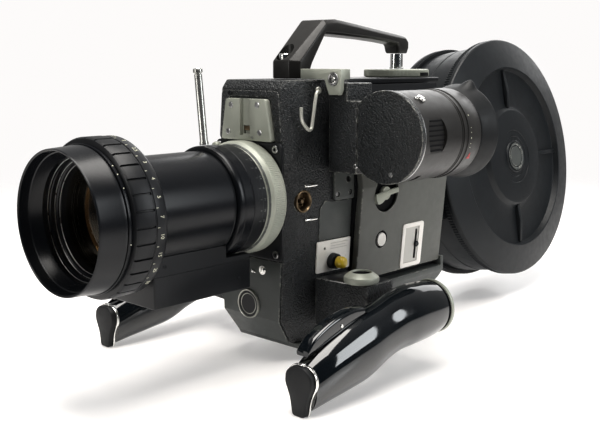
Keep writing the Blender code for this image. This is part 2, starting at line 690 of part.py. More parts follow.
def make_magazine(looks):
    black, satin, metal = looks
    frame = bpy.data.objects.new("magazine_frame", None)
    frame.location = Vector((0.0, MAG_Y, MAG_Z)) * MM
    frame.rotation_euler = (0.0, -MAG_TILT, 0.0)
    bpy.context.scene.collection.objects.link(frame)
    centre = (0.0, 0.0, 0.0)
    wall = MAG_R - 3.5
    drum = [
        (MAG_R, -MAG_HALF),
        (MAG_R, MAG_HALF),
        (wall, MAG_HALF),
        (wall, 1.5),
        (6.0, 1.5),
        (6.0, -1.5),
        (wall, -1.5),
        (wall, -MAG_HALF),
    ]
    case = add("magazine_case", turned(drum, centre, (1.0, 0.0, 0.0), DRUM_ROUND), black, centre, frame)
    mouth = BODY_REAR + 0.5 - MAG_Y
    inside_wall = (MAG_R + wall) / 2
    throat = [(mouth, -42.0), (mouth, 46.0)]
    for step in range(9):
        z = 46.0 - step * 11.0
        throat.append((-math.sqrt(inside_wall**2 - z**2), z))
    join(case, prism(throat, "X", -19.0, 19.0))
    cut(case, box((-9.0, mouth - 5.0, -12.0), (9.0, -90.0, 12.0)))
    face = MAG_HALF + GAP
    cover = [
        (0.0, 34.0),
        (13.0, 34.0),
        (13.6, 32.5),
        (23.0, 32.5),
        (24.0, 33.5),
        (40.0, 33.0),
        (46.0, 29.0),
        (73.0, 29.0),
        (76.3, 33.6),
        (RIM_R - 0.8, 28.4),
        (RIM_R, 27.6),
        (RIM_R, 20.0),
        (MAG_R + GAP, 20.0),
        (MAG_R + GAP, face),
        (0.0, face),
    ]
    for name, way in (("magazine_cover_left", 1.0), ("magazine_cover_right", -1.0)):
        add(name, turned(cover, centre, (way, 0.0, 0.0), DRUM_ROUND), satin, centre, frame)
    hub = [(CORE_HUB_R, 3.0), (CORE_HUB_R, 21.0), (21.6, 21.0), (21.6, 14.0), (8.0, 14.0)]
    hub += [(8.0, 22.0), (4.0, 22.0), (4.0, 3.0)]
    for name, way in (("supply_core", 1.0), ("takeup_core", -1.0)):
        add(name, turned(hub, centre, (way, 0.0, 0.0), 32), metal, centre, frame)


def main():
    clear_scene()
    crackle = material("crackle_black", (0.016, 0.019, 0.021), 0.62)
    black = material("anodised_black", (0.009, 0.010, 0.013), 0.45)
    satin = material("satin_black", (0.010, 0.012, 0.015), 0.34)
    gloss = material("gloss_black", (0.006, 0.007, 0.009), 0.12)
    paint = material("grey_paint", (0.060, 0.066, 0.064), 0.50)
    warm = material("side_panel_grey", (0.115, 0.117, 0.104), 0.52)
    light = material("light_metal", (0.42, 0.44, 0.37), 0.42, 0.2)
    chrome = material("chrome", (0.72, 0.72, 0.70), 0.12, 1.0)
    metal = material("bright_steel", (0.45, 0.45, 0.45), 0.30, 1.0)
    brass = material("brass", (0.30, 0.21, 0.11), 0.35, 1.0)
    pale = material("pale_plate", (0.72, 0.69, 0.66), 0.35)
    yellow = material("yellow_plastic", (0.55, 0.38, 0.03), 0.32)
    rubber = material("rubber", (0.014, 0.016, 0.017), 0.70)
    glass = material("coated_glass", (0.09, 0.07, 0.05), 0.05)
    mirror = material("mirror", (0.80, 0.80, 0.80), 0.05, 1.0)

    make_lens((black, satin, light, chrome, glass))
    make_servo((black, metal))
    make_front((crackle, paint, light, chrome, brass, pale, yellow, black))
    make_inside((metal, mirror, black))
    make_body((paint, warm, black, light, pale, black))
    make_handle((black, chrome, light))
    make_finder((crackle, black, rubber, glass))
    for side in (1.0, -1.0):
        make_grip(side, (crackle, gloss, rubber, light))
    make_magazine((black, satin, metal))


main()
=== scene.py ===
"""Finish and fine detail of a 16 mm cine camera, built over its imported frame.

Sizes are in millimetres: +X is the operator's left, -Y points at the subject and +Z is up.
"""

import math

import bmesh
import bpy
from mathutils import Matrix, Vector


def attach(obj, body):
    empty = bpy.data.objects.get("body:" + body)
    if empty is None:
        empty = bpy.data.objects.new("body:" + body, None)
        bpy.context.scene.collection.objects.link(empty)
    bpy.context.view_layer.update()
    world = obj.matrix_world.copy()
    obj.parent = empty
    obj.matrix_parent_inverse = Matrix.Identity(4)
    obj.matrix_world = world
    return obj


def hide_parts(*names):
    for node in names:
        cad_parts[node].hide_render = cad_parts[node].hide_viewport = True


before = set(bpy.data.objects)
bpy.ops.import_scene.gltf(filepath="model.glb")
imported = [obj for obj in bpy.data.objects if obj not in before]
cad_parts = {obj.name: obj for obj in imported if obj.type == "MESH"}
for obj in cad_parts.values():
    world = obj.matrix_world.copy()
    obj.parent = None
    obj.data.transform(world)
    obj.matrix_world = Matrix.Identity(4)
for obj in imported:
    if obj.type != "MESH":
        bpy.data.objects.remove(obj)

MM = 0.001
ALONG = (0, 1, 0)
ACROSS = (1, 0, 0)
UP = (0, 0, 1)
ORIGIN = (0, 0, 0)
LENS_Z = 102.6
CORE_R = 30  # the lens body under its rings
CASTING_FRONT = -47.7
CASTING_REAR = 12
BAND_REAR = CASTING_FRONT + 8.2  # where the bevelled corner meets the side
CASTING_TAPER = [(4.2, 0.8), (22, 0.88), (107, 1), (177.8, 0.86)]
COVER_TAPER = [(36, 38.9), (105, 45), (174, 38.4)]
BROW_Z = 172.5
BODY_FRONT = 12.3
BODY_REAR = 113
LATCH = Vector((41.2, 40, 99.4))
RELEASE = (38.3, 66.7)
SLIDER = (79.6, 57.6)
FINDER_X, FINDER_Z, FINDER_R = 83, 143.1, 29
FINDER_FLAT = 61.5
GRIP_X = 93.6
GRIP_Z = 31
POST_Y = 107
TIP_Y = -97.2
DRUM_Y = 234
DRUM = Matrix.Translation((0, DRUM_Y, 104.6)) @ Matrix.Rotation(math.radians(-9.27), 4, "Y")
DRUM_R = 97
RIM_R = 100.4


# Meshes


def loft(rings, loop=False):
    """Rings of points joined in turn, capped at both ends unless the last joins the first."""
    mesh = bmesh.new()
    rows = [[mesh.verts.new(point) for point in ring] for ring in rings]
    for low, high in zip(rows, rows[1:] + rows[:1] if loop else rows[1:]):
        for i in range(len(low)):
            mesh.faces.new((low[i - 1], low[i], high[i], high[i - 1]))
    if not loop:
        mesh.faces.new(rows[0])
        mesh.faces.new(rows[-1])
    bmesh.ops.recalc_face_normals(mesh, faces=mesh.faces)
    return mesh


def box(low, high):
    corners = ((0, 1), (1, 1), (1, 0), (0, 0))
    ends = (low, high)
    return loft([[(ends[i][0], ends[j][1], end[2]) for i, j in corners] for end in ends])


def prism(outline, across, low, high):
    """An outline drawn in the two axes other than `across`, extruded along it."""
    axis = "XYZ".index(across)
    rings = []
    for level in (low, high):
        rings.append([(*point[:axis], level, *point[axis:]) for point in outline])
    return loft(rings)


def turned(profile, origin, direction, sides=128, dent=None):
    """A profile of (radius, distance) points turned round an axis.

    `sides` is a count or a list of angles; `dent` changes the radius by angle, radius and distance.
    """
    along = Vector(direction).normalized()
    up = Vector(ALONG) if abs(along.z) > 0.9 else Vector(UP)
    up = (up - along * up.dot(along)).normalized()
    side = along.cross(up)
    angles = [math.tau * i / sides for i in range(sides)] if isinstance(sides, int) else sides
    mesh = bmesh.new()
    rows = []
    for radius, distance in profile:
        centre = Vector(origin) + along * distance
        row = []
        for angle in angles if radius > 0 else angles[:1]:
            r = radius + (dent(angle, radius, distance) if dent and radius > 0 else 0)
            row.append(mesh.verts.new(centre + (side * math.cos(angle) + up * math.sin(angle)) * r))
        rows.append(row)
    solid = profile[0][0] == 0 and profile[-1][0] == 0
    for low, high in zip(rows, rows[1:] if solid else rows[1:] + rows[:1]):
        for i in range(len(angles)):
            corners = [low[i - 1], low[i], high[i],
                high[i - 1]] if len(low) > 1 and len(high) > 1 else []
            if not corners:
                corners = [low[0], high[i], high[i - 1]] if len(high) > 1 else [low[i - 1], low[i],
                    high[0]]
            mesh.faces.new(corners)
    bmesh.ops.recalc_face_normals(mesh, faces=mesh.faces)
    return mesh


def knurl(sides, depth, past, low=0, high=1000):
    """A dent that sinks every other side beyond a radius, between two distances."""

    def dent(angle, radius, distance):
        inside = radius > past and low < distance < high
        return -depth * (round(angle * sides / math.tau) % 2) if inside else 0

    return dent


def rod(start, end, radius, sides=32):
    span = Vector(end) - Vector(start)
    profile = [(0, 0), (radius, 0), (radius, span.length), (0, span.length)]
    return turned(profile, start, span, sides)


def pin(start, end, radius, sides=24):
    """A rod with domed ends."""
    span = Vector(end) - Vector(start)
    dome = [(radius * math.sin(a), radius * (1 - math.cos(a)) * 0.8) for a in (0, 0.5, 1, 1.57)]
    far = [(r, span.length - d) for r, d in reversed(dome)]
    return turned(dome + far, start, span, sides)


def softened(points, rounds=2):
    """The same open line of points with its corners cut."""
    for _ in range(rounds):
        line = [points[0]]
        for a, b in zip(points, points[1:]):
            line += [a.lerp(b, 0.25), a.lerp(b, 0.75)]
        points = [*line, points[-1]]
    return points


def wire(points, radius, sides=16, rounds=2):
    points = softened([Vector(p) for p in points], rounds)
    side = Vector(ACROSS)
    rings = []
    for i, point in enumerate(points):
        forward = (points[min(i + 1, len(points) - 1)] - points[max(i - 1, 0)]).normalized()
        side = (side - forward * side.dot(forward)).normalized()
        other = forward.cross(side)
        turns = [math.tau * k / sides for k in range(sides)]
        rings.append([point + (side * math.cos(a) + other * math.sin(a)) * radius for a in turns])
    return loft(rings)


def rounded(mesh, width, segments=2, angle=30):
    """The mesh with every edge sharper than the angle rounded off."""
    mesh.normal_update()
    limit = math.radians(angle)
    sharp = [e for e in mesh.edges if e.is_manifold and e.calc_face_angle(0) > limit]
    bmesh.ops.bevel(
        mesh, geom=sharp, offset=width, segments=segments, profile=0.5, affect="EDGES", clamp_overlap=True
    )
    return mesh


def helper(mesh):
    data = bpy.data.meshes.new("helper")
    mesh.to_mesh(data)
    mesh.free()
    made = bpy.data.objects.new("helper", data)
    bpy.context.scene.collection.objects.link(made)
    return made


def evaluated(made):
    bpy.context.view_layer.update()
    graph = bpy.context.evaluated_depsgraph_get()
    mesh = bmesh.new()
    mesh.from_mesh(bpy.data.meshes.new_from_object(made.evaluated_get(graph)))
    return mesh


def carved(mesh, *tools, operation="DIFFERENCE"):
    """The mesh with each tool cut from it, or joined to it."""
    target = helper(mesh)
    used = [target]
    for tool in tools:
        used.append(helper(tool))
        step = target.modifiers.new("step", "BOOLEAN")
        step.operation = operation
        step.solver = "EXACT"
        step.object = used[-1]
    result = evaluated(target)
    for made in used:
        bpy.data.objects.remove(made)
    return result


def joined(mesh, *others):
    return carved(mesh, *others, operation="UNION")


def merged(*meshes):
    """The meshes side by side as one, with no boolean."""
    whole = bmesh.new()
    for mesh in meshes:
        data = bpy.data.meshes.new("part")
        mesh.to_mesh(data)
        mesh.free()
        whole.from_mesh(data)
        bpy.data.meshes.remove(data)
    return whole


def moved(mesh, matrix):
    mesh.transform(matrix)
    if matrix.determinant() < 0:
        bmesh.ops.reverse_faces(mesh, faces=mesh.faces)
    return mesh


def lettering(text, size, depth=0.1):
    """A word as a thin solid in the XY plane, centred on the origin."""
    curve = bpy.data.curves.new("word", "FONT")
    curve.body = text
    curve.size = size
    curve.extrude = depth / 2
    curve.align_x = "CENTER"
    curve.align_y = "CENTER"
    curve.resolution_u = 3
    holder = bpy.data.objects.new("word", curve)
    bpy.context.scene.collection.objects.link(holder)
    mesh = evaluated(holder)
    bpy.data.objects.remove(holder)
    return mesh


def on_ring(mesh, radius, angle, y):
    """A flat mesh bent round the lens axis: its X runs down the ring's left side, its Y rearward."""
    for vert in mesh.verts:
        turn = angle - vert.co.x / radius
        out = radius + vert.co.z
        vert.co = (out * math.cos(turn), y + vert.co.y, LENS_Z + out * math.sin(turn))
    bmesh.ops.recalc_face_normals(mesh, faces=mesh.faces)
    return mesh


def seated(at, out, turn=0):
    """The matrix that lays the XY plane on a surface at a point, facing outward."""
    frame_of = Vector(out).to_track_quat("Z", "Y").to_matrix().to_4x4()
    return Matrix.Translation(Vector(at)) @ frame_of @ Matrix.Rotation(math.radians(turn), 4, "Z")


def screw(at, out, radius, height=0.5, kind="slot", turn=30):
    """A screw head with a slot or a hexagonal socket; its shank goes 1 mm into the surface."""
    if kind == "slot":
        edge = [(radius, height * 0.6), (radius * 0.86, height)]
        recess = box((-2 * radius, -radius * 0.17, height * 0.2), (2 * radius, radius * 0.17, 9))
    else:
        edge = [(radius, height - 0.3), (radius - 0.3, height)]
        turns = [a * math.pi / 3 for a in range(6)]
        hexagon = [(radius * 0.5 * math.cos(a), radius * 0.5 * math.sin(a)) for a in turns]
        recess = prism(hexagon, "Z", height - radius * 0.7, height + 1)
    profile = [(0, -1), (radius, -1), *edge, (0, height)]
    head = carved(turned(profile, ORIGIN, UP, 32), recess)
    return moved(head, seated(at, out, turn))


def between(value, table):
    for (low, start), (high, end) in zip(table, table[1:]):
        if value <= high:
            return start + (end - start) * (value - low) / (high - low)
    return table[-1][1]


def casting_side(y, z):
    """How far the casting's left side is from the middle."""
    back = (y - BAND_REAR) / (9 - BAND_REAR)
    return (34.6 + 2.3 * back) * between(z, CASTING_TAPER)


def cover_side(z):
    """How far a side cover is from the middle."""
    return between(z, COVER_TAPER)


def on_cover(y, z):
    return cover_side(z)


def sheet(outline, surface, low, high):
    """A plate that follows a side surface: outline in y and z, from `low` to `high` above it."""
    rings = []
    for rise in (low, high):
        rings.append([(surface(y, z) + rise, y, z) for y, z in outline])
    return loft(rings)


def round_corners(outline, radius, steps=4):
    """A closed outline with each corner replaced by an arc."""
    points = [Vector(p) for p in outline]
    line = []
    for i, corner in enumerate(points):
        before = (points[i - 1] - corner).normalized() * radius
        after = (points[(i + 1) % len(points)] - corner).normalized() * radius
        for step in range(steps + 1):
            t = step / steps
            line.append(corner + before * (1 - t) ** 2 + after * t**2)
    return [tuple(p) for p in line]


def rectangle(y0, z0, y1, z1):
    return [(y0, z0), (y1, z0), (y1, z1), (y0, z1)]


# Looks

SLOTS = {}


def wiring(tree):
    """Two functions: one adds a node with its settings, one links an output to an input."""

    def node(kind, **values):
        step = tree.nodes.new(kind)
        for key, value in values.items():
            if hasattr(step, key):
                setattr(step, key, value)
            else:
                step.inputs[key.replace("_", " ")].default_value = value
        return step

    def link(source, target, socket=0):
        tree.links.new(source, target.inputs[socket])

    return node, link


def look(name, slot, colour, roughness, metallic=0, **extra):
    """A procedural finish.

    grain and cell: pattern size in mm; depth: its height in mm; mottle: spread of the colour;
    smear: spread of the roughness; wear: how much paler colour shows on edges, partly
    metal through rubbed paint and partly a painted highlight; coat: varnish; shine: strength of the
    reflection.
    """
    made = bpy.data.materials.new(name)
    made.use_nodes = True
    surface = made.node_tree.nodes["Principled BSDF"]
    surface.inputs["Metallic"].default_value = metallic
    surface.inputs["Coat Weight"].default_value = extra.get("coat", 0)
    surface.inputs["Coat Roughness"].default_value = 0.06
    surface.inputs["Specular IOR Level"].default_value = extra.get("shine", 0.5)
    node, link = wiring(made.node_tree)

    place = node("ShaderNodeTexCoord").outputs["Object"]
    scale = node("ShaderNodeVectorMath", operation="SCALE")
    scale.inputs["Scale"].default_value = 1000
    link(place, scale)
    millimetres = scale.outputs[0]

    def noise(size, detail=3):
        step = node("ShaderNodeTexNoise", Scale=1 / size, Detail=detail)
        link(millimetres, step, "Vector")
        return step.outputs["Fac"]

    def spread(source, low, high):
        step = node("ShaderNodeMapRange", From_Min=0.25, From_Max=0.75, To_Min=low, To_Max=high)
        link(source, step)
        return step.outputs[0]

    mottle = extra.get("mottle", 0.12)
    tint = node("ShaderNodeHueSaturation", Color=(*colour, 1))
    link(spread(noise(14, 6), 1 - mottle, 1 + mottle), tint, "Value")
    base = tint.outputs[0]
    smear = node("ShaderNodeMath", operation="MULTIPLY_ADD")
    link(spread(noise(5, 5), -0.5, 0.5), smear)
    smear.inputs[1].default_value = extra.get("smear", 0.12)
    smear.inputs[2].default_value = roughness
    link(smear.outputs[0], surface, "Roughness")

    depth = extra.get("depth", 0.006)
    if "cell" in extra:
        wrinkle = node("ShaderNodeTexVoronoi", feature="SMOOTH_F1", Scale=1 / extra["cell"])
        wrinkle.inputs["Smoothness"].default_value = 0.6
        bend = node("ShaderNodeTexNoise", Scale=1.4 / extra["cell"], Detail=2)
        link(millimetres, bend, "Vector")
        push = node("ShaderNodeVectorMath", operation="MULTIPLY_ADD")
        link(bend.outputs["Color"], push)
        push.inputs[1].default_value = (extra["cell"] * 1.1,) * 3
        link(millimetres, push, 2)
        link(push.outputs[0], wrinkle, "Vector")
        height = spread(wrinkle.outputs["Distance"], 1, 0)
        # Painted shade: the colour is darkened in the hollows between the wrinkles, standing in for the
        # shadow that falls in them.
        crevice_shade = node("ShaderNodeMix", data_type="RGBA", blend_type="MULTIPLY")
        crevice_shade.inputs[0].default_value = 0.6
        link(base, crevice_shade, 6)
        link(height, crevice_shade, 7)
        base = crevice_shade.outputs[2]
    else:
        height = noise(extra.get("grain", 0.35), 2)
    bump = node("ShaderNodeBump", Strength=extra.get("strength", 0.6), Distance=depth * MM)
    link(height, bump, "Height")
    link(bump.outputs[0], surface, "Normal")
    # Painted highlight: edges get a paler grey colour. This is partly metal showing through rubbed paint
    # and partly a stand-in for light caught on the rounded edges.
    wear = extra.get("wear", 0)
    if wear:
        soft = node("ShaderNodeBevel", samples=4, Radius=0.9 * MM)
        facing = node("ShaderNodeVectorMath", operation="DOT_PRODUCT")
        link(soft.outputs[0], facing)
        link(node("ShaderNodeNewGeometry").outputs["Normal"], facing, 1)
        bright_edge = node("ShaderNodeMapRange", From_Min=0.9965, From_Max=0.972, To_Min=0, To_Max=1)
        link(facing.outputs["Value"], bright_edge)
        patch = node("ShaderNodeMapRange", From_Min=0.62 - 0.3 * wear, From_Max=0.72, To_Min=0, To_Max=1)
        link(noise(3, 6), patch)
        mask = node("ShaderNodeMath", operation="MULTIPLY")
        link(bright_edge.outputs[0], mask)
        link(patch.outputs[0], mask, 1)
        bare_metal_and_glint = node("ShaderNodeMix", data_type="RGBA")
        bare_metal_and_glint.inputs[7].default_value = (0.42, 0.42, 0.38, 1)
        link(mask.outputs[0], bare_metal_and_glint)
        link(base, bare_metal_and_glint, 6)
        base = bare_metal_and_glint.outputs[2]
    link(base, surface, "Base Color")
    SLOTS[name] = (made, slot)
    return made


look("crackle", "crackle_black", (0.014, 0.017, 0.019), 0.36, cell=1.2, depth=0.42, strength=1,
    wear=0.7, shine=0.55)
look("black", "anodised_black", (0.011, 0.012, 0.014), 0.38, grain=0.25, depth=0.003, smear=0.05,
    shine=0.3)
look("dark", "anodised_black", (0.004, 0.004, 0.005), 0.75, shine=0.2)
look("satin", "satin_black", (0.006, 0.007, 0.009), 0.26, grain=0.22, depth=0.001, smear=0.02,
    mottle=0.06, shine=0.3)
look("baffle", "satin_black", (0.006, 0.007, 0.008), 0.55, shine=0.2)
look("tube", "anodised_black", (0.022, 0.021, 0.020), 0.36, grain=0.45, depth=0.03, shine=0.35)
look("gloss", "gloss_black", (0.005, 0.007, 0.009), 0.07, coat=0.6, grain=6, depth=0.02, smear=0.04)
look("paint", "grey_paint", (0.064, 0.070, 0.067), 0.50, grain=0.4, depth=0.012, wear=0.5)
look("warm", "side_panel_grey", (0.090, 0.093, 0.084), 0.50, grain=0.4, depth=0.010, mottle=0.07,
    wear=0.5)
look("pale_metal", "light_metal", (0.36, 0.375, 0.325), 0.42, 0.2, grain=0.3, depth=0.008, mottle=0.08)
look("chrome", "chrome", (0.72, 0.72, 0.70), 0.20, 1, depth=0.001, smear=0.06)
look("wire", "chrome", (0.55, 0.55, 0.50), 0.34, 0.35, depth=0.001)
look("rod", "chrome", (0.42, 0.42, 0.40), 0.30, 0.85, depth=0.001)
look("steel", "bright_steel", (0.45, 0.45, 0.45), 0.30, 1)
look("brass", "brass", (0.16, 0.12, 0.075), 0.38, 0.9, mottle=0.3)
look("plate", "pale_plate", (0.70, 0.68, 0.64), 0.32, 0.1, mottle=0.10)
look("white", "pale_plate", (0.80, 0.77, 0.73), 0.40, mottle=0.03)
look("window", "pale_plate", (0.48, 0.47, 0.44), 0.35, mottle=0.03)
look("ink", "pale_plate", (0.62, 0.62, 0.50), 0.50)
look("faint_ink", "pale_plate", (0.16, 0.17, 0.16), 0.50)
look("red", "yellow_plastic", (0.45, 0.05, 0.05), 0.45)
look("yellow", "yellow_plastic", (0.58, 0.42, 0.03), 0.30, coat=0.3, mottle=0.15)
look("rubber", "rubber", (0.008, 0.009, 0.010), 0.50, grain=0.5, depth=0.02, shine=0.3)
look("drum", "anodised_black", (0.011, 0.013, 0.015), 0.42, grain=0.7, depth=0.012, mottle=0.18,
    shine=0.3)
# Painted reflection: this amber colour stands in for the coloured reflection of the lens coatings.
look("amber", "coated_glass", (0.80, 0.66, 0.50), 0.30, 0.1, mottle=0.35)
# Painted reflection: this brown stands in for the darker ring of coating reflection seen inside the lens.
look("coat", "coated_glass", (0.20, 0.165, 0.135), 0.22, 0.3, mottle=0.30)
look("mirror", "mirror", (0.80, 0.80, 0.80), 0.04, 1, smear=0.02)


def coated_glass():
    """Thin tinted glass: clear from the front, with amber reflections at a slant."""
    made = bpy.data.materials.new("glass")
    made.use_nodes = True
    tree = made.node_tree
    tree.nodes.remove(tree.nodes["Principled BSDF"])
    node, link = wiring(tree)
    mix = node("ShaderNodeMixShader")
    link(node("ShaderNodeLayerWeight", Blend=0.26).outputs["Fresnel"], mix)
    link(node("ShaderNodeBsdfTransparent", Color=(0.95, 0.93, 0.89, 1)).outputs[0], mix, 1)
    link(node("ShaderNodeBsdfGlossy", Color=(0.78, 0.70, 0.58, 1), Roughness=0.03).outputs[0], mix, 2)
    link(mix.outputs[0], tree.nodes["Material Output"], "Surface")
    SLOTS["glass"] = (made, "coated_glass")


coated_glass()


def piece(name, mesh, finish, body="camera", *stands_for, angle=32):
    """A mesh in millimetres, or a list of them, made into a visible piece that moves with a body."""
    if isinstance(mesh, list):
        mesh = merged(*mesh)
    data = bpy.data.meshes.new(name)
    mesh.transform(Matrix.Scale(MM, 4))
    mesh.to_mesh(data)
    mesh.free()
    data.shade_smooth()
    data.set_sharp_from_angle(angle=math.radians(angle))
    made = bpy.data.objects.new(name, data)
    data.materials.append(SLOTS[finish][0])
    bpy.context.scene.collection.objects.link(made)
    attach(made, body)
    if stands_for:
        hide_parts(*stands_for)
    return made


def keep(node, finish):
    """A frame node shown as it is, with its edges eased and its own finish."""
    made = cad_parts[node]
    made.data.materials.clear()
    made.data.materials.append(SLOTS[finish][0])
    edge = made.modifiers.new("edge", "BEVEL")
    edge.width = 0.3 * MM
    edge.segments = 2
    edge.limit_method = "ANGLE"
    edge.angle_limit = math.radians(32)
    edge.harden_normals = True


# Lens


def about_lens(profile, sides=160, dent=None):
    return turned(profile, (0, 0, LENS_Z), ALONG, sides, dent)


def build_lens():
    hood = [(40.1, -193.4), (40.5, -193.5), (40.8, -193.1), (40.9, -192.4), (41.7, -178.4),
        (41.9, -177.6), (41.9, -176.6), (35.3, -176.6), (35.3, -180.4), (36.6, -182.4),
        (38.3, -186.8), (38.9, -187.2), (39.1, -187.8), (39.5, -192.8)]
    piece("hood", about_lens(hood), "satin", "focus", "lens_hood")

    cell = [(42.2, -176.15), (42.6, -175.8), (42.6, -174), (42.3, -173.85), (36, -173.85),
        (36, -158), (29.5, -158), (29.5, -160), (31.6, -160), (31.6, -169.4), (32.2, -170.4),
        (33, -170.6), (33, -171.6), (33.6, -172.3), (34.2, -172.5), (34.2, -175.6), (34.6, -176.15)]
    piece("cell", about_lens(cell), "satin", "focus", "front_cell")
    rings = []
    for radius, y in ((35.2, -176.9), (33.9, -173), (32.1, -170.9)):
        half = [(radius + 0.22 * math.cos(a), y + 0.22 * math.sin(a))
            for a in (0, 1.26, 2.51, 3.77, 5.03)]
        rings.append(about_lens(half))
    piece("cell_edges", rings, "steel", "focus")
    crown = [(31.2 * i / 14, -171.2 + 4.2 * (i / 14) ** 2) for i in range(15)]
    back = [(31.2 * i / 10, -163.6 + 3 * (i / 10) ** 2) for i in range(10, -1, -1)]
    piece("front_element", about_lens([*crown, *back]), "glass", "focus", "front_glass")
    dots = [on_ring(rod((0, 0, -0.2), (0, 0, 0.12), 0.42, 12), 42.6, a, -174.9)
        for a in (0.52, 0.72, 0.86, -0.2, 2.1)]
    piece("cell_dots", dots, "ink", "focus")

    focus = [(44.4, -173.5), (45.2, -173.1), (45.6, -172.3), (45.9, -171.7), (45.9, -161.3),
        (45.5, -160.9), (45.2, -160.5), (45.2, -160.1), (45.6, -159.7), (45.7, -154.6),
        (45.3, -153.7), (44.1, -152.1), (36.3, -152.1), (36.3, -173.5)]
    pitch = math.tau / 32
    offsets = (-4.5, -2.7, -0.9, -0.72, -0.5, 0, 0.5, 0.72, 0.9, 2.7)
    flutes = [k * pitch + offset / 45.9 for k in range(32) for offset in offsets]

    def flute(angle, radius, y):
        across = abs((angle / pitch + 0.5) % 1 - 0.5) * pitch * 45.9
        return -1.1 if across < 0.6 and radius > 45 and -172.9 < y < -160.7 else 0

    piece("focus_grip", about_lens(focus, flutes, flute), "black", "focus", "focus_ring", angle=28)
    marks = []
    for i, word in enumerate(("1.5", "1.7", "2", "2.5", "3", "4", "5", "7", "10", "15", "25", "50")):
        for turn in (1.75, 1.75 - math.pi):
            marks.append(on_ring(lettering(word, 3.3), 45.7, turn - i * 0.235, -156.6))
            tick = box((-0.16, -0.7, -0.05), (0.16, 0.7, 0.05))
            marks.append(on_ring(tick, 45.68, turn - i * 0.235 + 0.11, -159))
    piece("focus_scale", marks, "ink", "focus")

    barrel = [(32.9, -157.6), (32.9, -152.6), (33.2, -152.2), (33.2, -147.3), (32.9, -146.9),
        (32.5, -146.7), (32.5, -92.2), (32.2, -91.9), (32.2, -91.4), (32.5, -91.1), (32.5, -90.4),
        (30, -90.3), (CORE_R, -50.4), (22.5, -50.4), (22.5, -43), (19, -43), (19, -60), (26, -62),
        (26, -157.6)]
    piece("barrel", about_lens(barrel), "satin", "camera", "lens_barrel")
    marks = [on_ring(box((-0.14, -0.55, -0.05), (0.14, 0.55, 0.05)), 33.22, a, -149.6)
        for a in (-0.05, 0.02, -0.02)]
    marks.append(on_ring(prism([(-0.9, -1), (0.9, -1), (0, 0.9)], "Z", -0.05, 0.06), 33.2, 0.35, -149.8))
    piece("barrel_marks", marks, "ink")
    baffle = [(25.8, -157.4), (25.8, -128), (23.5, -128), (23.5, -150), (22.6, -151),
        (22.6, -156.4), (23.2, -157.4)]
    steps = [(25.8, -157.2), (22, -157.2), (21.9, -153.4), (25.8, -153)]
    piece("inner_baffle", merged(about_lens(baffle[::-1]), about_lens(steps)), "baffle")
    ring = [(21.9, -157.4), (21.5, -158.1), (20.9, -158), (20.5, -156.8), (20.5, -152), (21.9, -152)]
    narrow = [(17, -155.6), (16.5, -156.1), (16.1, -155.4), (16.1, -154), (17, -154)]
    piece("inner_ring", merged(about_lens(ring), about_lens(narrow)), "steel")
    dome = [(20.5 * i / 10, -155.6 + 2.4 * (i / 10) ** 2) for i in range(11)]
    cone = [(20.9, -158.6), (25, -159.8), (29.2, -160.4), (29.2, -159.2), (25, -158.6), (20.9, -157.7)]
    # Painted reflection: the brown cone and the pale amber dome stand in for the coating reflections seen
    # through the front element.
    piece("inner_reflection_cone", about_lens(cone), "coat")
    piece("inner_element", about_lens([*dome, (20.5, -150), (0, -150)]), "amber")

    zoom = [(32.9, -89.9), (34, -89.8), (35, -89.2), (35.4, -88.4), (35.4, -86.2), (35.1, -85.9),
        (35.1, -85.5), (35.4, -85.2), (35.4, -78.6), (35.1, -78.2), (30.3, -78.2), (30.3, -89.9)]
    piece("zoom_flange", about_lens(zoom), "satin", "zoom", "zoom_ring")
    lean = math.radians(6)
    out = Vector((-math.sin(lean), 0, math.cos(lean)))
    foot = Vector((0, -84, LENS_Z)) + out * 35.7
    stem = [(0, 0), (2.9, 0), (2.9, 1.6), (2.5, 2.4), (2.45, 43.6), (2, 44), (2, 44.4), (3, 44.8),
        (3, 46.8), (2.6, 47.3), (0, 47.5)]
    piece("zoom_rod", turned(stem, foot, out, 40), "rod", "zoom", "zoom_lever")

    iris = [(34.8, -77.9), (35.1, -77.5), (34.9, -74), (34.6, -73.7), (34.5, -70.2), (34.3, -69.9),
        (34.3, -66.3), (34, -66), (30.3, -66), (30.3, -77.9)]
    piece("iris_band", about_lens(iris), "black", "iris", "iris_ring")
    marks = []
    for i, word in enumerate(("2.2", "2.8", "4", "5.6", "8", "11", "16", "22")):
        marks.append(on_ring(lettering(word, 2, 0.06), 34.4, 1.1 - i * 0.2, -68.2))
        marks.append(on_ring(box((-0.12, -0.7, -0.03), (0.12, 0.7, 0.03)), 34.6, 1.1 - i * 0.2, -71.6))
    piece("iris_scale", marks, "faint_ink", "iris")

    lock = [(33.4, -65.6), (33.6, -65.7), (36.2, -62.3), (36.6, -61.7), (36.6, -61.2),
        (36.9, -60.9), (36.7, -52.6), (36.4, -52.3), (35.9, -51), (30.3, -51), (30.3, -65.6)]
    piece("lock_band", about_lens(lock, 360, knurl(360, 0.32, 0, -61, -52.5)), "pale_metal",
        "lock_ring", "lens_lock_ring", angle=20)
    groove = [(34.2, -64.9), (34.5, -65.1), (35.3, -64), (35.1, -63.7)]
    piece("lock_bevel", about_lens(groove), "paint", "lock_ring")
    catch = [(0, -54.6), (2.3, -54.6), (2.9, -54.2), (3.3, -53.4), (3.3, -50.3), (0, -50.3)]
    piece("catch_button", turned(catch, (-28, 0, 133.6), ALONG, 48), "pale_metal", "catch", "lock_catch")


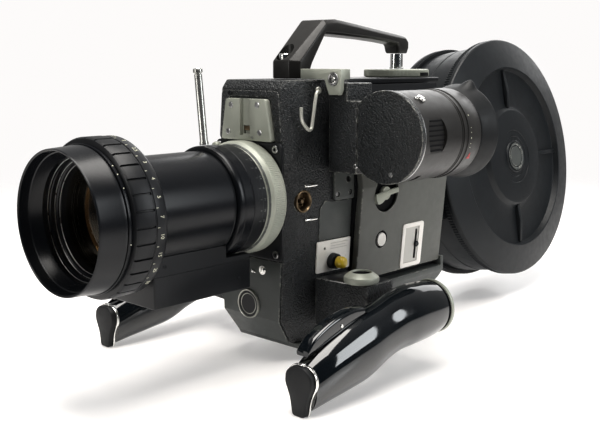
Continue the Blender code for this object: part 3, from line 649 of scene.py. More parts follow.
def build_servo():
    front, rear, low = -145.8, -70.2, 48.6
    side = [(front, low), (rear, low), (rear, 71), (-90, 71), (-90, 80), (front, 80)]
    shell = carved(
        rounded(prism(side, "X", -22.5, 22.5), 0.9, 3),
        about_lens([(0, -152), (33.5, -152), (33.5, -146.8), (32.8, -146.6), (32.8, -60), (0, -60)], 96),
        about_lens([(0, -90.2), (35.7, -90.2), (35.7, -60), (0, -60)], 96),
        box((-19.5, -142.5, 51.5), (19.5, -95, 84)),
        box((-8.5, -96, 51.5), (8.5, -78.5, 72)),
        box((22.2, front - 1, 67.3), (24, rear + 1, 67.7)),
        box((-24, front - 1, 67.3), (-22.2, rear + 1, 67.7)),
    )
    piece("servo_shell", shell, "black", "camera", "servo_box")
    mark = prism([(4.7, 59.6), (5.3, 59.3), (6.7, 61.2), (6.1, 61.5)], "Y", front - 0.06, front + 0.1)
    piece("servo_mark", mark, "ink")
    heads = []
    for way, first, more in ((1, 40, 50), (-1, 10, 70)):
        for i, (y, z) in enumerate([(-80, 56), (-138, 73)]):
            heads.append(screw((22.5 * way, y, z), (way, 0, 0), 1.3, 0.25, "slot", first + more * i))
    heads += [screw((x, y, low), (0, 0, -1), 1.8, 0.2, "slot", 25 * x) for x in (-15, 15)
        for y in (-138, -78)]
    piece("servo_screws", heads, "black")
    keep("servo_motor", "steel")
    keep("servo_pinion", "steel")


# Front casting and what is mounted on it


def casting_plan(z):
    """The casting's outline at a height."""
    width = between(z, CASTING_TAPER)
    recess = between(z, [(4.2, 12), (22, 0), (BROW_Z, 0), (177.8, 4)])
    half = [
        (36.9 * width, CASTING_REAR),
        (34.6 * width, BAND_REAR + recess),
        (31 * width, CASTING_FRONT + recess),
    ]
    return [(x, y, z) for x, y in half] + [(-x, y, z) for x, y in reversed(half)]


def build_front():
    body = rounded(loft([casting_plan(z) for z in (4.2, 22, 107, BROW_Z, 177.8)]), 0.9, 3, 12)
    socket = Vector((casting_side(-34.2, 100.8), -34.2, 100.8))
    frame_outer = round_corners([(-29, 138.9), (29, 138.9), (26.2, 171.2), (-26.2, 171.2)], 3)
    frame_inner = round_corners([(-24.4, 136), (24.4, 136), (19.4, 167.4), (-19.4, 167.4)], 3)
    body = carved(
        body,
        box((-26, -38, 52), (26, CASTING_REAR + 3, 140)),
        about_lens([(0, CASTING_FRONT - 5), (23.5, CASTING_FRONT - 5), (23.5, -36), (0, -36)], 96),
        rod((28, -34.2, 100.8), (45, -34.2, 100.8), 7.5, 64),
        box((-40, -8.3, 172.5), (40, -7.7, 180)),
    )
    piece("casting", body, "crackle", "camera", "front_casting", angle=24)
    rim = carved(
        rounded(prism(frame_outer, "Y", CASTING_FRONT - 0.9, CASTING_FRONT + 2), 0.5, 2),
        prism(frame_inner, "Y", CASTING_FRONT - 3, CASTING_FRONT + 4),
    )
    piece("brow_rim", rim, "crackle")

    plate_front = CASTING_FRONT - 2.2
    plate = prism(round_corners(rectangle(-30.6, 62.4, 30.6, 138.6), 3.4, 6), "Y", plate_front,
        CASTING_FRONT - 0.3)
    corners = ((24.7, 134.6), (24.7, 66.7), (-24.7, 66.7))
    sinks = [rod((x, -60, z), (x, plate_front + 0.9, z), 3.1) for x, z in corners]
    plate = carved(
        rounded(plate, 0.5, 2),
        about_lens([(0, -55), (23.2, -55), (23.2, -45), (0, -45)], 96),
        rod((-28, -60, 133.6), (-28, -40, 133.6), 3.6),
        *sinks,
    )
    piece("lens_plate", plate, "black", "camera", "mount_plate")
    heads = [screw((x, plate_front + 0.3, z), (0, -1, 0), 2.6, 0.9, "hex", 15) for x, z in corners]
    piece("plate_screws", heads, "steel")

    back = CASTING_FRONT - 0.4
    shape = [(24, 4.8, 11.4), (26.4, 21.8, 0), (28.6, 61.8, 0)]
    rings = [rectangle(-h, back + s - 0.9, h, back + s) for h, z, s in shape]
    rings = [[(x, y, z) for x, y in ring] for ring, (h, z, s) in zip(rings, shape)]
    piece("chin_panel", rounded(loft(rings), 0.35, 2), "paint", "camera", "front_panel")
    badge = [(8.9, 0.9), (9.1, 1.5), (9.6, 1.7), (9.8, 1.4), (9.8, -0.2), (8.9, -0.2)]
    disc = (-1.1, back - 0.9, 29.7)
    piece("badge_disc", turned([(0, 0.9), (9, 0.9), (9, -0.2), (0, -0.2)], disc, (0, -1, 0), 96),
        "black")
    inner = [(6.6, 0.9), (6.9, 1.15), (7.2, 0.9), (6.9, 0.7)]
    rings = [turned(shape, disc, (0, -1, 0), 96) for shape in (badge, inner)]
    piece("badge_rim", rings, "wire")
    bits = [pin((2.7, -47.8, 52.8), (2.7, -50.4, 52.8), 1.3),
        pin((5.4, -48.5, 52), (2.7, -49, 52.4), 0.8),
        screw((11.6, -49, 54.5), (0, -1, 0), 2.2, 1.2, "slot", 70),
        rod((11.6, -48, 54.5), (11.6, -49.2, 54.5), 3)]
    piece("panel_fittings", bits, "chrome")

    front = CASTING_FRONT - 4.5
    outline = round_corners([(-23.4, 139.2), (23.4, 139.2), (18.5, 166), (-18.5, 166)], 2.2)
    shoe = carved(
        rounded(prism(outline, "Y", front, CASTING_FRONT - 0.3), 0.5, 2),
        box((-5, front - 1, 142.5), (4, front + 2.4, 170)),
        box((-3.7, front - 1, 143.5), (4.2, front + 3.8, 148.8)),
    )
    piece("shoe_plate", shoe, "pale_metal", "camera", "accessory_shoe")
    places = [(-13.5, 161.8), (10.9, 162.2), (-16.4, 144.4), (12.9, 144.6)]
    heads = [screw((x, front, z), (0, -1, 0), 2, 0.25, "slot", 25 + 47 * i)
        for i, (x, z) in enumerate(places)]
    heads.append(rod((-10.2, front - 0.1, 141.6), (-10.2, front + 0.6, 141.6), 0.5, 16))
    heads.append(rod((6.2, front - 0.1, 141.4), (6.2, front + 0.6, 141.4), 0.8, 16))
    piece("shoe_screws", heads, "steel")
    piece("shoe_catch", rounded(box((-3.4, front + 2, 145.6), (3.9, front + 3.6, 148.4)), 0.3), "brass")
    head = screw((-18.1, CASTING_FRONT - 0.9, 169.2), (0, -1, 0), 1.9, 0.5, "hex", 10)
    piece("brow_screw", head, "black")

    cup = [(0, 5.8), (7.2, 5.8), (7.2, -0.6), (6.9, -0.9), (6.3, -0.9), (6, -0.5), (5.6, 0.4),
        (5.6, 4.6), (1.4, 4.6), (1.2, 0.9), (0, 0.8)]
    piece("socket_cup", turned(cup, socket, (-1, 0, 0), 96), "brass", "camera", "side_socket")
    contacts = []
    for a in (0.4, 2, 3.6, 5.2):
        aside = Vector((0, 3.2 * math.cos(a), 3.2 * math.sin(a))) + socket
        contacts.append(rod(aside - Vector((4.7, 0, 0)), aside - Vector((2.2, 0, 0)), 0.6, 16))
    piece("socket_contacts", contacts, "brass")
    pins = []
    for near, far, z in ((-33.8, -22.2, 110.6), (-32.7, -21.3, 88.3)):
        pins.append(pin((casting_side(near, z) + 0.4, near, z), (casting_side(far, z) + 0.4, far, z), 1))
    piece("side_pins", pins, "chrome")

    outline = round_corners([(-19, 72.6), (11.3, 72.6), (11.3, 98), (-7.6, 98), (-14, 99.2),
        (-19, 94)], 1)
    piece("side_panel", rounded(sheet(outline, casting_side, -0.4, 0.5), 0.2), "paint")
    outline = round_corners(rectangle(-7, 98.7, 12, 118.1), 1.4)
    sizes = ((6.4, 112, 2.3), (-4, 102.6, 1.9), (8.2, 103.2, 1.9))
    holes = [rod((30, y, z), (45, y, z), r) for y, z, r in sizes]
    plate = carved(rounded(sheet(outline, casting_side, -0.3, 2), 0.3), *holes)
    piece("hole_plate", plate, "paint")
    # Painted shade: near-black discs at the bottom of the plate's holes stand in for the shade inside
    # them.
    hole_shade_discs = []
    for y, z, r in sizes:
        hole_shade_discs.append(rod((casting_side(y, z) - 1, y, z), (casting_side(y, z) + 0.1, y, z), r))
    piece("hole_shade", hole_shade_discs, "dark")
    heads = [screw((casting_side(y, z) + 0.6, y, z), ACROSS, 1.35, 0.5, "hex", 20)
        for y, z in (sizes[1][:2], sizes[2][:2])]
    heads.append(pin((37.9, 11, 115.6), (39, 10.6, 116.4), 0.9))
    piece("hole_screws", heads, "steel")

    outline = round_corners(rectangle(-21, 50.6, 11, 72), 0.8)
    label = carved(sheet(outline, casting_side, 0.35, 1.3), rod((30, -13.8, 66.8), (45, -13.8, 66.8), 1))
    piece("label_sheet", label, "plate", "camera", "label_plate")
    lines = []
    for z, width in ((69.6, 17), (67.8, 14.5), (66, 16)):
        place = Matrix.Translation((casting_side(-1, z) + 1.32, -8.8, z))
        line = box((-0.1, 0, 0), (0.05, width, 0.35))
        lines.append(moved(line, place @ Matrix.Rotation(math.radians(-2.9), 4, "Z")))
    piece("label_lines", lines, "window")
    stem = Vector((casting_side(-6, 57.5) + 3.6, -6, 57.5))
    cap = [(0, 3), (3.7, 3), (3.95, 3.4), (4, 6.6), (3.7, 7.8), (2.9, 8.7), (1.4, 9), (0, 9.05)]
    piece("record_cap", turned(cap, stem, ACROSS, 64), "yellow", "record_key", "record_button", angle=50)
    collar = [(0, 0), (3.4, 0), (3.4, 2.2), (3, 2.6), (3, 3.4), (0, 3.4)]
    piece("record_stem", turned(collar, stem, ACROSS, 48), "black", "record_key")
    guard = [(4, -2.6), (5.4, -2.6), (5.2, 1.6), (4.7, 2), (4, 1.8)]
    piece("record_guard", turned(guard, stem, ACROSS, 48), "black")

    x = casting_side(-20, 169) + 1.6
    route = [(0.6, -19, 171), (2.2, -23, 169), (2.4, -26.5, 150), (2.6, -27.5, 147),
        (2.8, -30.5, 146), (3, -36, 151), (3.2, -37.6, 154), (3.4, -38, 161)]
    hook = wire([(x + out, y, z) for out, y, z in route], 1.15, 20)
    eye = turned([(1, -0.7), (2.2, -0.7), (2.4, 0), (2.2, 0.7), (1, 0.7)], (x + 0.4, -18.6, 171.2),
        (1, 0.1, 0), 32)
    rivet = pin((x + 0.9, -18.6, 171.2), (x - 1.4, -18.6, 171.2), 1)
    piece("hook_wire", [hook, eye, rivet], "wire", "camera", "tape_hook")
    keep("film_gate", "steel")
    keep("mirror_shutter", "mirror")
    keep("drive_motor", "black")


# Body


def slab(right, left, front, rear, z):
    return [(left, front, z), (right, front, z), (right, rear, z), (left, rear, z)]


def build_body():
    keep("body_housing", "black")
    for name, side in (("left", 1), ("right", -1)):
        rings = []
        for z in (40, 105, 166):
            out = cover_side(z) * side
            rings.append(slab(out, out - 5 * side, BODY_FRONT + 1, BODY_REAR, z))
        cover = rounded(loft(rings), 0.9, 3, 8)
        if side > 0:
            cover = carved(
                cover,
                rod(LATCH, LATCH + Vector((20, 0, 0)), 13.2, 96),
                rod((36, *RELEASE), (60, *RELEASE), 6.3, 64),
                box((38, SLIDER[0] - 1.3, SLIDER[1] - 11.2), (60, SLIDER[0] + 1.3, SLIDER[1] + 11.2)),
            )
        piece(f"cover_{name}", cover, "warm", "camera", f"side_cover_{name}", angle=24)

    # Painted shade: a near-black lining on the floor and wall of the latch recess stands in for the shade
    # inside it.
    well = turned([(0, 0), (13.1, 0), (13.1, 1.6), (12.9, 1.6), (12.8, 0.12), (0, 0.12)], LATCH,
        ACROSS, 96)
    piece("latch_recess_shade", well, "dark")
    tab = [(-12.6, 0.2), (-12.5, -3), (-11, -6.2), (-9, -6.9), (-6, -6.2), (-3, -4.4), (-0.5, -1.7),
        (12.6, -0.2), (12.4, 3)]
    tab = round_corners([(LATCH.y + y, LATCH.z + z) for y, z in tab], 0.5, 3)
    lever = joined(rounded(prism(tab, "X", 43.2, 45.8), 0.6, 3, 40),
        rod(LATCH + Vector((0.3, 0, 0)), LATCH + Vector((3.4, 0, 0)), 4.6))
    piece("latch_tab", lever, "pale_metal", "latch", "latch_lever")
    press = (cover_side(RELEASE[1]), *RELEASE)
    tilt = Vector((0.9961, 0, -0.0881))
    button = [(0, -4.6), (4.9, -4.6), (4.9, 0.1), (4.7, 0.6), (4.2, 0.8), (3.6, 0.75), (0, 0.45)]
    piece("release_disc", turned(button, press, ACROSS, 64), "plate", "release_key", "release_button")
    ring = [(6.25, -3), (6.25, 0.15), (5.9, 0.35), (5.4, 0.1), (5.4, -3)]
    piece("release_ring", turned(ring, press, tilt, 64), "dark")

    outer = round_corners(rectangle(62.6, 41, 87.8, 74), 2.6, 6)
    inner = rectangle(66, 44.2, 82.6, 70.9)
    frame_ring = carved(rounded(sheet(outer, on_cover, -0.3, 0.7), 0.3), sheet(inner, on_cover, -3, 3))
    piece("slider_frame", frame_ring, "white")
    y, z = SLIDER
    slot = box((30, y - 1.3, z - 11.2), (60, y + 1.3, z + 11.2))
    piece("slider_scale", carved(sheet(inner, on_cover, -0.3, 0.2), slot), "window")
    # Painted shade: a near-black strip at the bottom of the slider's slot stands in for the shade inside
    # it.
    slot_shade = sheet(rectangle(y - 1.25, z - 11.1, y + 1.25, z + 11.1), on_cover, -2.6, -1.4)
    piece("slider_slot_shade", slot_shade, "dark")
    knob = [(0, -1.2), (1, -1.2), (1, 0.5), (2, 0.5), (2.2, 0.8), (2.1, 1.8), (1.6, 2.2), (0, 2)]
    piece("slider_button", turned(knob, (cover_side(SLIDER[1]), *SLIDER), ACROSS, 48), "black",
        "slider", "slider_knob")

    foot = rounded(loft([slab(28.5, -28.5, -32, 85, 0), slab(29.5, -29.5, -33.6, 86, 3.9)]), 0.8, 3)
    steps = ((2, 29, 86), (26, 37, 117), (32, 41, 117), (35.7, 41, 117))
    tray = rounded(loft([slab(half, -half, BODY_FRONT, far, z) for z, half, far in steps]), 0.6, 2)
    lip = rounded(box((-41, 113.4, 34), (41, 117, 43)), 0.6, 2)
    base = carved(
        joined(foot, tray, lip),
        rod((0, 24, -5), (0, 24, 14), 4.2, 64),
        rod((0, -16, -5), (0, -16, 8), 2.9, 48),
        *[rod((x, y, -5), (x, y, 0.7), 2.4) for x in (-20, 20) for y in (-20, 70)],
    )
    piece("base_tray", base, "paint", "camera", "base_plate", angle=24)
    heads = [screw((x, y, 0.7), (0, 0, -1), 2.1, 0.3, "slot", 3 * y) for x in (-20, 20)
        for y in (-20, 70)]
    piece("base_screws", heads, "steel")
    rims = []
    for r, y in ((4.25, 24), (2.95, -16)):
        lip = [(r + 0.9, 0.2), (r + 0.7, -0.15), (r, -0.15), (r, 0.6), (r + 0.9, 0.6)]
        rims.append(turned(lip, (0, y, 0), UP, 64))
    piece("hole_rims", rims, "steel")

    top = rounded(box((-27, BODY_FRONT + 1.2, 174.3), (27, 125, 178)), 0.7, 3)
    grooves = [box((x - 1.2, 0, 176.6), (x + 1.2, 126, 180)) for x in (-23, 23)]
    grooves.append(box((26.3, 0, 175.6), (29, 126, 176.4)))
    piece("top_rails", carved(top, *grooves), "black", "camera", "top_plate")
    heads = [screw((x, y, 178), UP, 1.9, 0.3, "slot", 17 * y) for x in (-15, 15) for y in (24, 66, 119)]
    heads += [screw((-cover_side(z) + 0.1, y, z), (-1, 0, 0), 2.2, 0.4, "slot", 2 * z)
        for y in (24, 102) for z in (52, 150)]
    piece("body_screws", heads, "black")


# Handle


def build_handle():
    # outer y and z, inner y and z, half width, width of the corner chamfer
    sections = [
        ((-19, 178.3), (-5.5, 178.3), 12.8, 5.6),
        ((-19, 190), (-1, 188.5), 12.8, 5.6),
        ((11.7, 217.4), (11.7, 207.9), 12.8, 3),
        ((24, 218.2), (23, 207.7), 12.4, 2.6),
        ((46, 215.9), (45, 206.6), 11.2, 2.6),
        ((67, 213.4), (66, 205.6), 10.2, 2.6),
        ((88, 211), (86, 203.9), 8.9, 2.6),
        ((103, 209.3), (98.5, 202.4), 8, 2.6),
        ((111.5, 208.2), (99.6, 200.6), 7.4, 2.8),
        ((115, 205), (100, 198.6), 7.2, 3),
        ((115.6, 200.6), (100.3, 197), 7, 3.2),
        ((114.6, 195.8), (100.6, 195.8), 6.2, 3.2),
    ]
    rings = []
    for outer, inner, half, cut in sections:
        o, i = Vector((0, *outer)), Vector((0, *inner))
        depth = (i - o).normalized() * min(cut, 5.2)
        wide = Vector((half, 0, 0))
        side = Vector((half - cut, 0, 0))
        low = (o - i).normalized() * 1.6
        ring = [o + side, o + wide + depth, i + wide + low, i + wide - Vector((1.6, 0, 0))]
        rings.append(ring + [Vector((-p.x, p.y, p.z)) for p in reversed(ring)])
    grip = rounded(loft(rings), 0.7, 3, 16)
    grip = carved(grip, rod((-2.4, -12.5, 189), (-2.4, -12.5, 225), 6, 64))
    piece("handle_bar", grip, "tube", "camera", "handle", angle=26)
    head = [(0, 0), (4.2, 0), (4.2, 5), (3.8, 5.6), (2.4, 5.6), (2.2, 3.4), (0, 3.2)]
    piece("cap_screw", turned(head, (-2.4, -12.5, 189.2), UP, 6 * 12), "chrome", "camera",
        "handle_screw")
    post = [(0, 184.3), (5.2, 184.3), (5.2, 185.2), (4.8, 185.6), (4.8, 195.5), (0, 195.5)]
    piece("post", turned(post, (0, POST_Y, 0), UP, 96), "chrome", "camera", "handle_pillar")
    wheel = [(0, 178.3), (23.9, 178.3), (24.6, 178.9), (24.7, 179.3), (24.7, 183), (24.3, 183.7),
        (23.2, 184), (0, 184)]
    hub = (0, POST_Y, 0)
    rim = turned(wheel, hub, UP, 300, knurl(300, 0.35, 24.5, 178.8, 183.2))
    piece("lock_wheel", rim, "pale_metal", "wheel", "handle_wheel", angle=20)
    rim_angles = [1.45, 1.58, 1.71, 1.84, 1.97]
    window = [(24.75 * math.sin(a), POST_Y - 24.75 * math.cos(a)) for a in rim_angles]
    window += [(23 * math.sin(a), POST_Y - 23 * math.cos(a)) for a in (rim_angles[-1], rim_angles[0])]
    window = prism(window, "Z", 179, 181.6)
    piece("wheel_window", window, "dark", "wheel")

    strap = joined(
        rounded(box((16, -17.4, 178.2), (51, -8, 184.8)), 0.6, 2),
        rounded(prism([(36.2, 180), (51, 180), (51, 172), (49.6, 168.4), (40.8, 168.4)], "Y", -17.4,
            -13.9), 0.5, 2),
    )
    strap = carved(
        strap,
        box((30, -13.8, 160), (60, 0, 177)),
        rod((44.6, -20, 178.4), (44.6, -15, 178.4), 4.4, 64),
        box((15, -15.6, 183.9), (37, -9.8, 190)),
    )
    piece("lug", strap, "pale_metal", "camera", "lug_bracket")
    cup = [(0, -2.3), (4.3, -2.3), (4.3, 0.2), (4, 0.3), (3.6, 0), (3.4, -1.4), (0, -1.5)]
    piece("lug_cup", turned(cup, (44.6, -17.4, 178.4), (0, -1, 0), 64), "steel")
    piece("lug_screw", screw((43.8, -15.9, 177.7), (0, -1, 0), 1.9, 1, "hex", 10), "chrome")


# Finder


def about_finder(profile, sides=128, dent=None):
    return turned(profile, (FINDER_X, 0, FINDER_Z), ALONG, sides, dent)


def d_outline():
    """The finder's end: a circle with a flat right side, as an outline in x and z."""
    start = math.acos((FINDER_FLAT - FINDER_X) / FINDER_R)
    angles = [-start + 2 * start * i / 96 for i in range(97)]
    return [(FINDER_X + FINDER_R * math.cos(a), FINDER_Z + FINDER_R * math.sin(a)) for a in angles]


def beyond_flat():
    """A fresh block that takes off everything right of the finder's flat."""
    return box((20, -60, 80), (FINDER_FLAT, 90, 200))


def finder_seat(angle, y, radius=28.5):
    """A point on the finder's tube and the direction straight out of it."""
    out = Vector((math.cos(math.radians(angle)), 0, math.sin(math.radians(angle))))
    return Vector((FINDER_X, y, FINDER_Z)) + out * radius, out


def build_finder():
    arm = joined(
        rounded(box((37.5, -13.5, 118.5), (61.2, CASTING_REAR, 165)), 1, 3),
        rounded(box((37.5, -13.5, 160), (53, CASTING_REAR, 176)), 1, 3),
    )
    piece("finder_block", arm, "crackle", "camera", "finder_arm", angle=26)
    heads = [screw((60, -13.5, 123.6), (0, -1, 0), 1.5, 0.4, "hex", 0)]
    heads += [screw((x, -0.8, 176), UP, 1.7, 0.3, "slot", 30) for x in (42, 49)]
    piece("block_screws", heads, "steel")

    face = rounded(prism(d_outline(), "Y", -13.5, -10.5), 0.7, 3, 50)
    piece("finder_face", face, "crackle", "finder", "finder_plate", angle=26)
    piece("face_screw", screw((88.6, -13.5, 120.6), (0, -1, 0), 1.5, 0.5, "slot", 60), "steel", "finder")
    tube = [(0, -10.2), (28, -10.2), (28.5, -9.8), (28.5, 29.4), (28.1, 29.8), (28.1, 30.3),
        (28.5, 30.7), (28.5, 31.3), (28.3, 31.5), (20, 31.5), (20, 4), (0, 4)]
    recess, out = finder_seat(4, 3.4)
    oval = turned([(0, -2), (9.6, -2), (9.6, 4), (0, 4)], ORIGIN, UP, 64)
    oval = moved(oval, seated(recess, out) @ Matrix.Diagonal((1, 1.35, 1, 1)))
    low, down = finder_seat(-74, 2)
    gap = moved(box((-2.2, -9, -3), (2.2, 9, 3)), seated(low, down))
    shell = carved(about_finder(tube), beyond_flat(), oval, gap)
    piece("finder_tube", shell, "tube", "finder", "finder_housing", angle=24)
    ribs = []
    for i in range(7):
        rise = -9 + 3 * i
        half = 9 * math.sqrt(max(0.05, 1 - (rise / 12) ** 2))
        ribs.append(box((rise - 0.5, -half, -2.1), (rise + 0.5, half, -1.5)))
    piece("recess_ribs", moved(merged(*ribs), seated(recess, out, 90)), "dark", "finder")
    seat, out = finder_seat(58, 1.2)
    clip = merged(
        rounded(box((-4.2, -1.2, -0.3), (4.2, 1.2, 0.9)), 0.4),
        rounded(box((-1.4, -4, -0.3), (1.4, 0.6, 1.3)), 0.4),
        turned([(0, -0.5), (1.9, -0.5), (1.9, 1.2), (1.5, 1.6), (0, 1.6)], ORIGIN, UP, 32),
    )
    piece("finder_catch", moved(clip, seated(seat, out)), "chrome", "finder")
    band = [(28.4, -10.3), (28.85, -10.1), (28.9, -9.6), (28.6, -9.4), (28.3, -9.5)]
    rim = carved(about_finder(band), beyond_flat())
    piece("face_rim", rim, "steel", "finder")

    ring = [(28.5, 31.8), (28.9, 32.2), (28.9, 33.6), (28.6, 34), (28.6, 36), (29.2, 36.4),
        (29.2, 50.2), (28.7, 51.2), (28, 51.6), (17.6, 51.6), (17.6, 31.8)]
    piece("diopter_band", about_finder(ring), "tube", "diopter", "diopter_ring")
    marks = []
    for i, angle in enumerate((26, 10, 4, -3, -10, -15)):
        seat, out = finder_seat(angle, 39, 29.2)
        marks.append(moved(rod((0, 0, -0.2), (0, 0, 0.1), 0.3 if i % 3 else 0.42, 12),
            seated(seat, out)))
    piece("diopter_dots", marks, "ink", "diopter")
    seat, out = finder_seat(-27, 41.2, 29.2)
    inner = prism([(-0.7, -1.2), (0.7, -1.2), (0, 0.7)], "Z", -1, 1)
    triangle = carved(prism([(-1.7, -1.9), (1.7, -1.9), (0, 2.4)], "Z", -0.2, 0.1), inner)
    piece("diopter_mark", moved(triangle, seated(seat, out)), "red", "diopter")
    lens = [(17.2 * i / 8, 43.5 + 2.1 * (i / 8) ** 2) for i in range(9)]
    lens += [(17.2 * i / 8, 48 + 1.4 * (1 - (i / 8) ** 2)) for i in range(8, -1, -1)]
    piece("eye_lens", about_finder(lens), "glass", "diopter", "eyepiece_glass")
    piece("eye_backing", about_finder([(0, 32.2), (17.5, 32.2), (17.5, 34), (0, 34)]), "dark", "diopter")

    cup = [(26.6, 51.9), (27.8, 52.6), (28.4, 54), (28.9, 55.8), (29.4, 57.2), (30.2, 61),
        (31, 64.6), (31.5, 66.6), (31.6, 67.5), (31.2, 68), (30.4, 67.9), (29.6, 67), (27.6, 62.8),
        (25.8, 60), (23, 58), (20.8, 56.6), (20, 54), (20, 51.9)]

    def ear(angle, radius, y):
        away = abs(math.degrees(angle) - 75) / 13
        rise = max(0, math.cos(min(away, 1) * math.pi / 2)) ** 2
        return 3.9 * rise * max(0, min(1, (y - 60) / 6)) if radius > 28 else 0

    piece("eyecup_rubber", about_finder(cup, 180, ear), "rubber", "eyecup", "eyecup", angle=50)


# Grips

GRIP_SHAPE = [
    # y, height of the middle, half height, half width
    (TIP_Y, 7, 14.6, 10.4),
    (-84, 11.5, 17, 12.6),
    (-66, 16, 19.2, 14.2),
    (-48, 20, 20.4, 15),
    (-32, 24.8, 19, 14.8),
    (-18, 28.5, 18.8, 15.4),
    (-4, 30, 19.4, 16.6),
    (8, 30.4, 19.2, 17),
    (17, 30.6, 18.4, 17),
    (24, 30.8, 17.2, 16.6),
]
KEYHOLE = [(-4.6, -16.2), (4.6, -16.2), (6.4, -6), (10.4, 3), (9.6, 9), (5, 13), (-5, 13),
    (-9.6, 9), (-10.4, 3), (-6.4, -6)]


def smooth_table(table, t):
    """A smooth curve through the rows of a table, at a position counted in rows."""
    i = min(int(t), len(table) - 2)
    rows = [table[max(0, min(len(table) - 1, k))] for k in (i - 1, i, i + 1, i + 2)]
    f = t - i
    return [
        0.5 * (2 * b + (c - a) * f + (2 * a - 5 * b + 4 * c - d) * f**2 + (3 * b - a - 3 * c + d) * f**3)
        for a, b, c, d in zip(*rows)
    ]


def build_grip(side):
    name = "left" if side > 0 else "right"
    body = f"grip_{name}"
    middle = side * GRIP_X

    ends = []
    for x, front in ((34.4, -23), (75.2, -18.6)):
        corners = rectangle(front, 16, 9, 48.6)
        ends.append([(side * x, y, z) for y, z in corners])
    piece(f"bracket_{name}", rounded(loft(ends), 1.3, 3), "crackle", "camera",
        f"grip_bracket_{name}", angle=24)
    top = [(36.5, -21), (73, -17), (73, 7.4), (36.5, 7.4)]
    plate = [[(side * x, y, z) for x, y in round_corners(top, 2)] for z in (48.3, 48.75)]
    piece(f"bracket_top_{name}", rounded(loft(plate), 0.15), "black")
    bright_edge = pin((side * 35.6, -22.6, 48.35), (side * 60, -20.1, 48.35), 0.35, 12)
    piece(f"bracket_edge_{name}", bright_edge, "steel")

    foot = 48.9
    knob = [(0, 0), (10.4, 0), (11.2, 0.5), (11.5, 1.3), (11.5, 3.4), (11.1, 4.2), (7.5, 6.9),
        (7, 7.1), (6.5, 7), (6.3, 6.6), (6.1, 4.8), (0, 4.8)]
    hub = (side * 65.7, -12.6, foot)
    piece(f"knob_rim_{name}", turned(knob, hub, UP, 192, knurl(192, 0.18, 11.4, 1.2)), "pale_metal",
        f"knob_{name}", f"grip_knob_{name}")
    well = turned([(0, 4.7), (6.1, 4.7), (6.2, 5.9), (5.6, 5.2), (0, 5)], hub, UP, 48)
    piece(f"knob_well_{name}", well, "dark", f"knob_{name}")

    rings = []
    rows = 6 * (len(GRIP_SHAPE) - 1)
    for k in range(rows + 1):
        y, z, high, wide = smooth_table(GRIP_SHAPE, k / 6)
        turns = [math.tau * i / 72 for i in range(72)]
        rings.append([(side * (GRIP_X + wide * math.cos(a)), y, z + high * math.sin(a)) for a in turns])
    centre = Vector((middle, rings[-1][0][1], 30.6))
    rings[-1] = [tuple(centre.lerp(Vector(p), 0.985)) for p in rings[-1]]
    slot = [(-101, 19.9), (-90, 22.7), (-75, 28), (-58, 32.4), (-44.5, 34.2), (-44.5, 60), (-101, 60)]
    shell = carved(loft(rings), prism(slot, "X", *sorted((side * 86.7, side * 96.7))))
    piece(f"grip_shell_{name}", shell, "gloss", body, f"grip_{name}", angle=40)
    seam = turned([(17, 23.4), (17.3, 23.8), (17, 24.2), (16.4, 23.8)], (middle, 0, GRIP_Z), ALONG, 96)
    piece(f"grip_seam_{name}", seam, "dark", body)

    disc = [(0, 24.3), (17.2, 24.3), (17.7, 24.6), (17.9, 25.1), (17.9, 26.6), (17.5, 27.2),
        (16.4, 27.6), (15.6, 27.4), (15.4, 26.8), (7, 26.8), (6.6, 27.2), (0, 27.2)]
    axis = (middle, 0, GRIP_Z)
    piece(f"disc_{name}", turned(disc, axis, ALONG, 128), "pale_metal", body, f"grip_disc_{name}")
    piece(f"disc_screw_{name}", screw((middle, 27.2, GRIP_Z), ALONG, 3.4, 0.35, "slot", 35),
        "steel", body)

    def keyhole(corner, wider=1, taller=1):
        line = round_corners(KEYHOLE, corner)
        return [(middle + x * wider, 7.6 + z * taller) for x, z in line]

    cap = rounded(prism(keyhole(2.2), "Y", TIP_Y - 5, TIP_Y - 0.3), 0.9, 3, 40)
    piece(f"tip_cap_{name}", cap, "rubber", body, f"grip_cap_{name}")
    hole = prism(keyhole(2.4, 1.02, 1.01), "Y", TIP_Y - 4, TIP_Y + 4)
    trim = carved(prism(keyhole(2.6, 1.13, 1.06), "Y", TIP_Y - 1.6, TIP_Y + 0.2), hole)
    piece(f"tip_trim_{name}", rounded(trim, 0.2), "chrome", body)
    clip = rounded(box((middle - 2.4, TIP_Y - 2.2, 19.6), (middle + 2.4, TIP_Y - 0.2, 22.4)), 0.6, 2)
    bar = pin((middle - 1.6, TIP_Y - 2.2, 21.4), (middle + 1.6, TIP_Y - 2.2, 21.4), 0.7)
    piece(f"tip_clip_{name}", [clip, bar], "chrome", body)

    lever = [(-96.2, 25.4, 28.6), (-90, 26.6, 35), (-75, 30.6, 41.6), (-58, 33.6, 45), (-46, 35, 44.4)]
    rings = []
    low, high = sorted((side * 87.2, side * 96.2))
    for k in range(4 * 5 + 1):
        y, under, top = smooth_table(lever, k / 5)
        outline = round_corners(rectangle(low, under, high, top), min(2.2, (top - under) * 0.4))
        rings.append([(x, y, z) for x, z in outline])
    piece(f"lever_{name}", loft(rings), "gloss", f"trigger_{name}", f"trigger_{name}", angle=40)
    head = screw((side * 96.2, -67.5, 37.6), (side, 0, 0), 1.2, 0.5, "slot", 20)
    piece(f"lever_screw_{name}", head, "chrome", f"trigger_{name}")


# Magazine


def on_drum(mesh):
    return moved(mesh, DRUM)


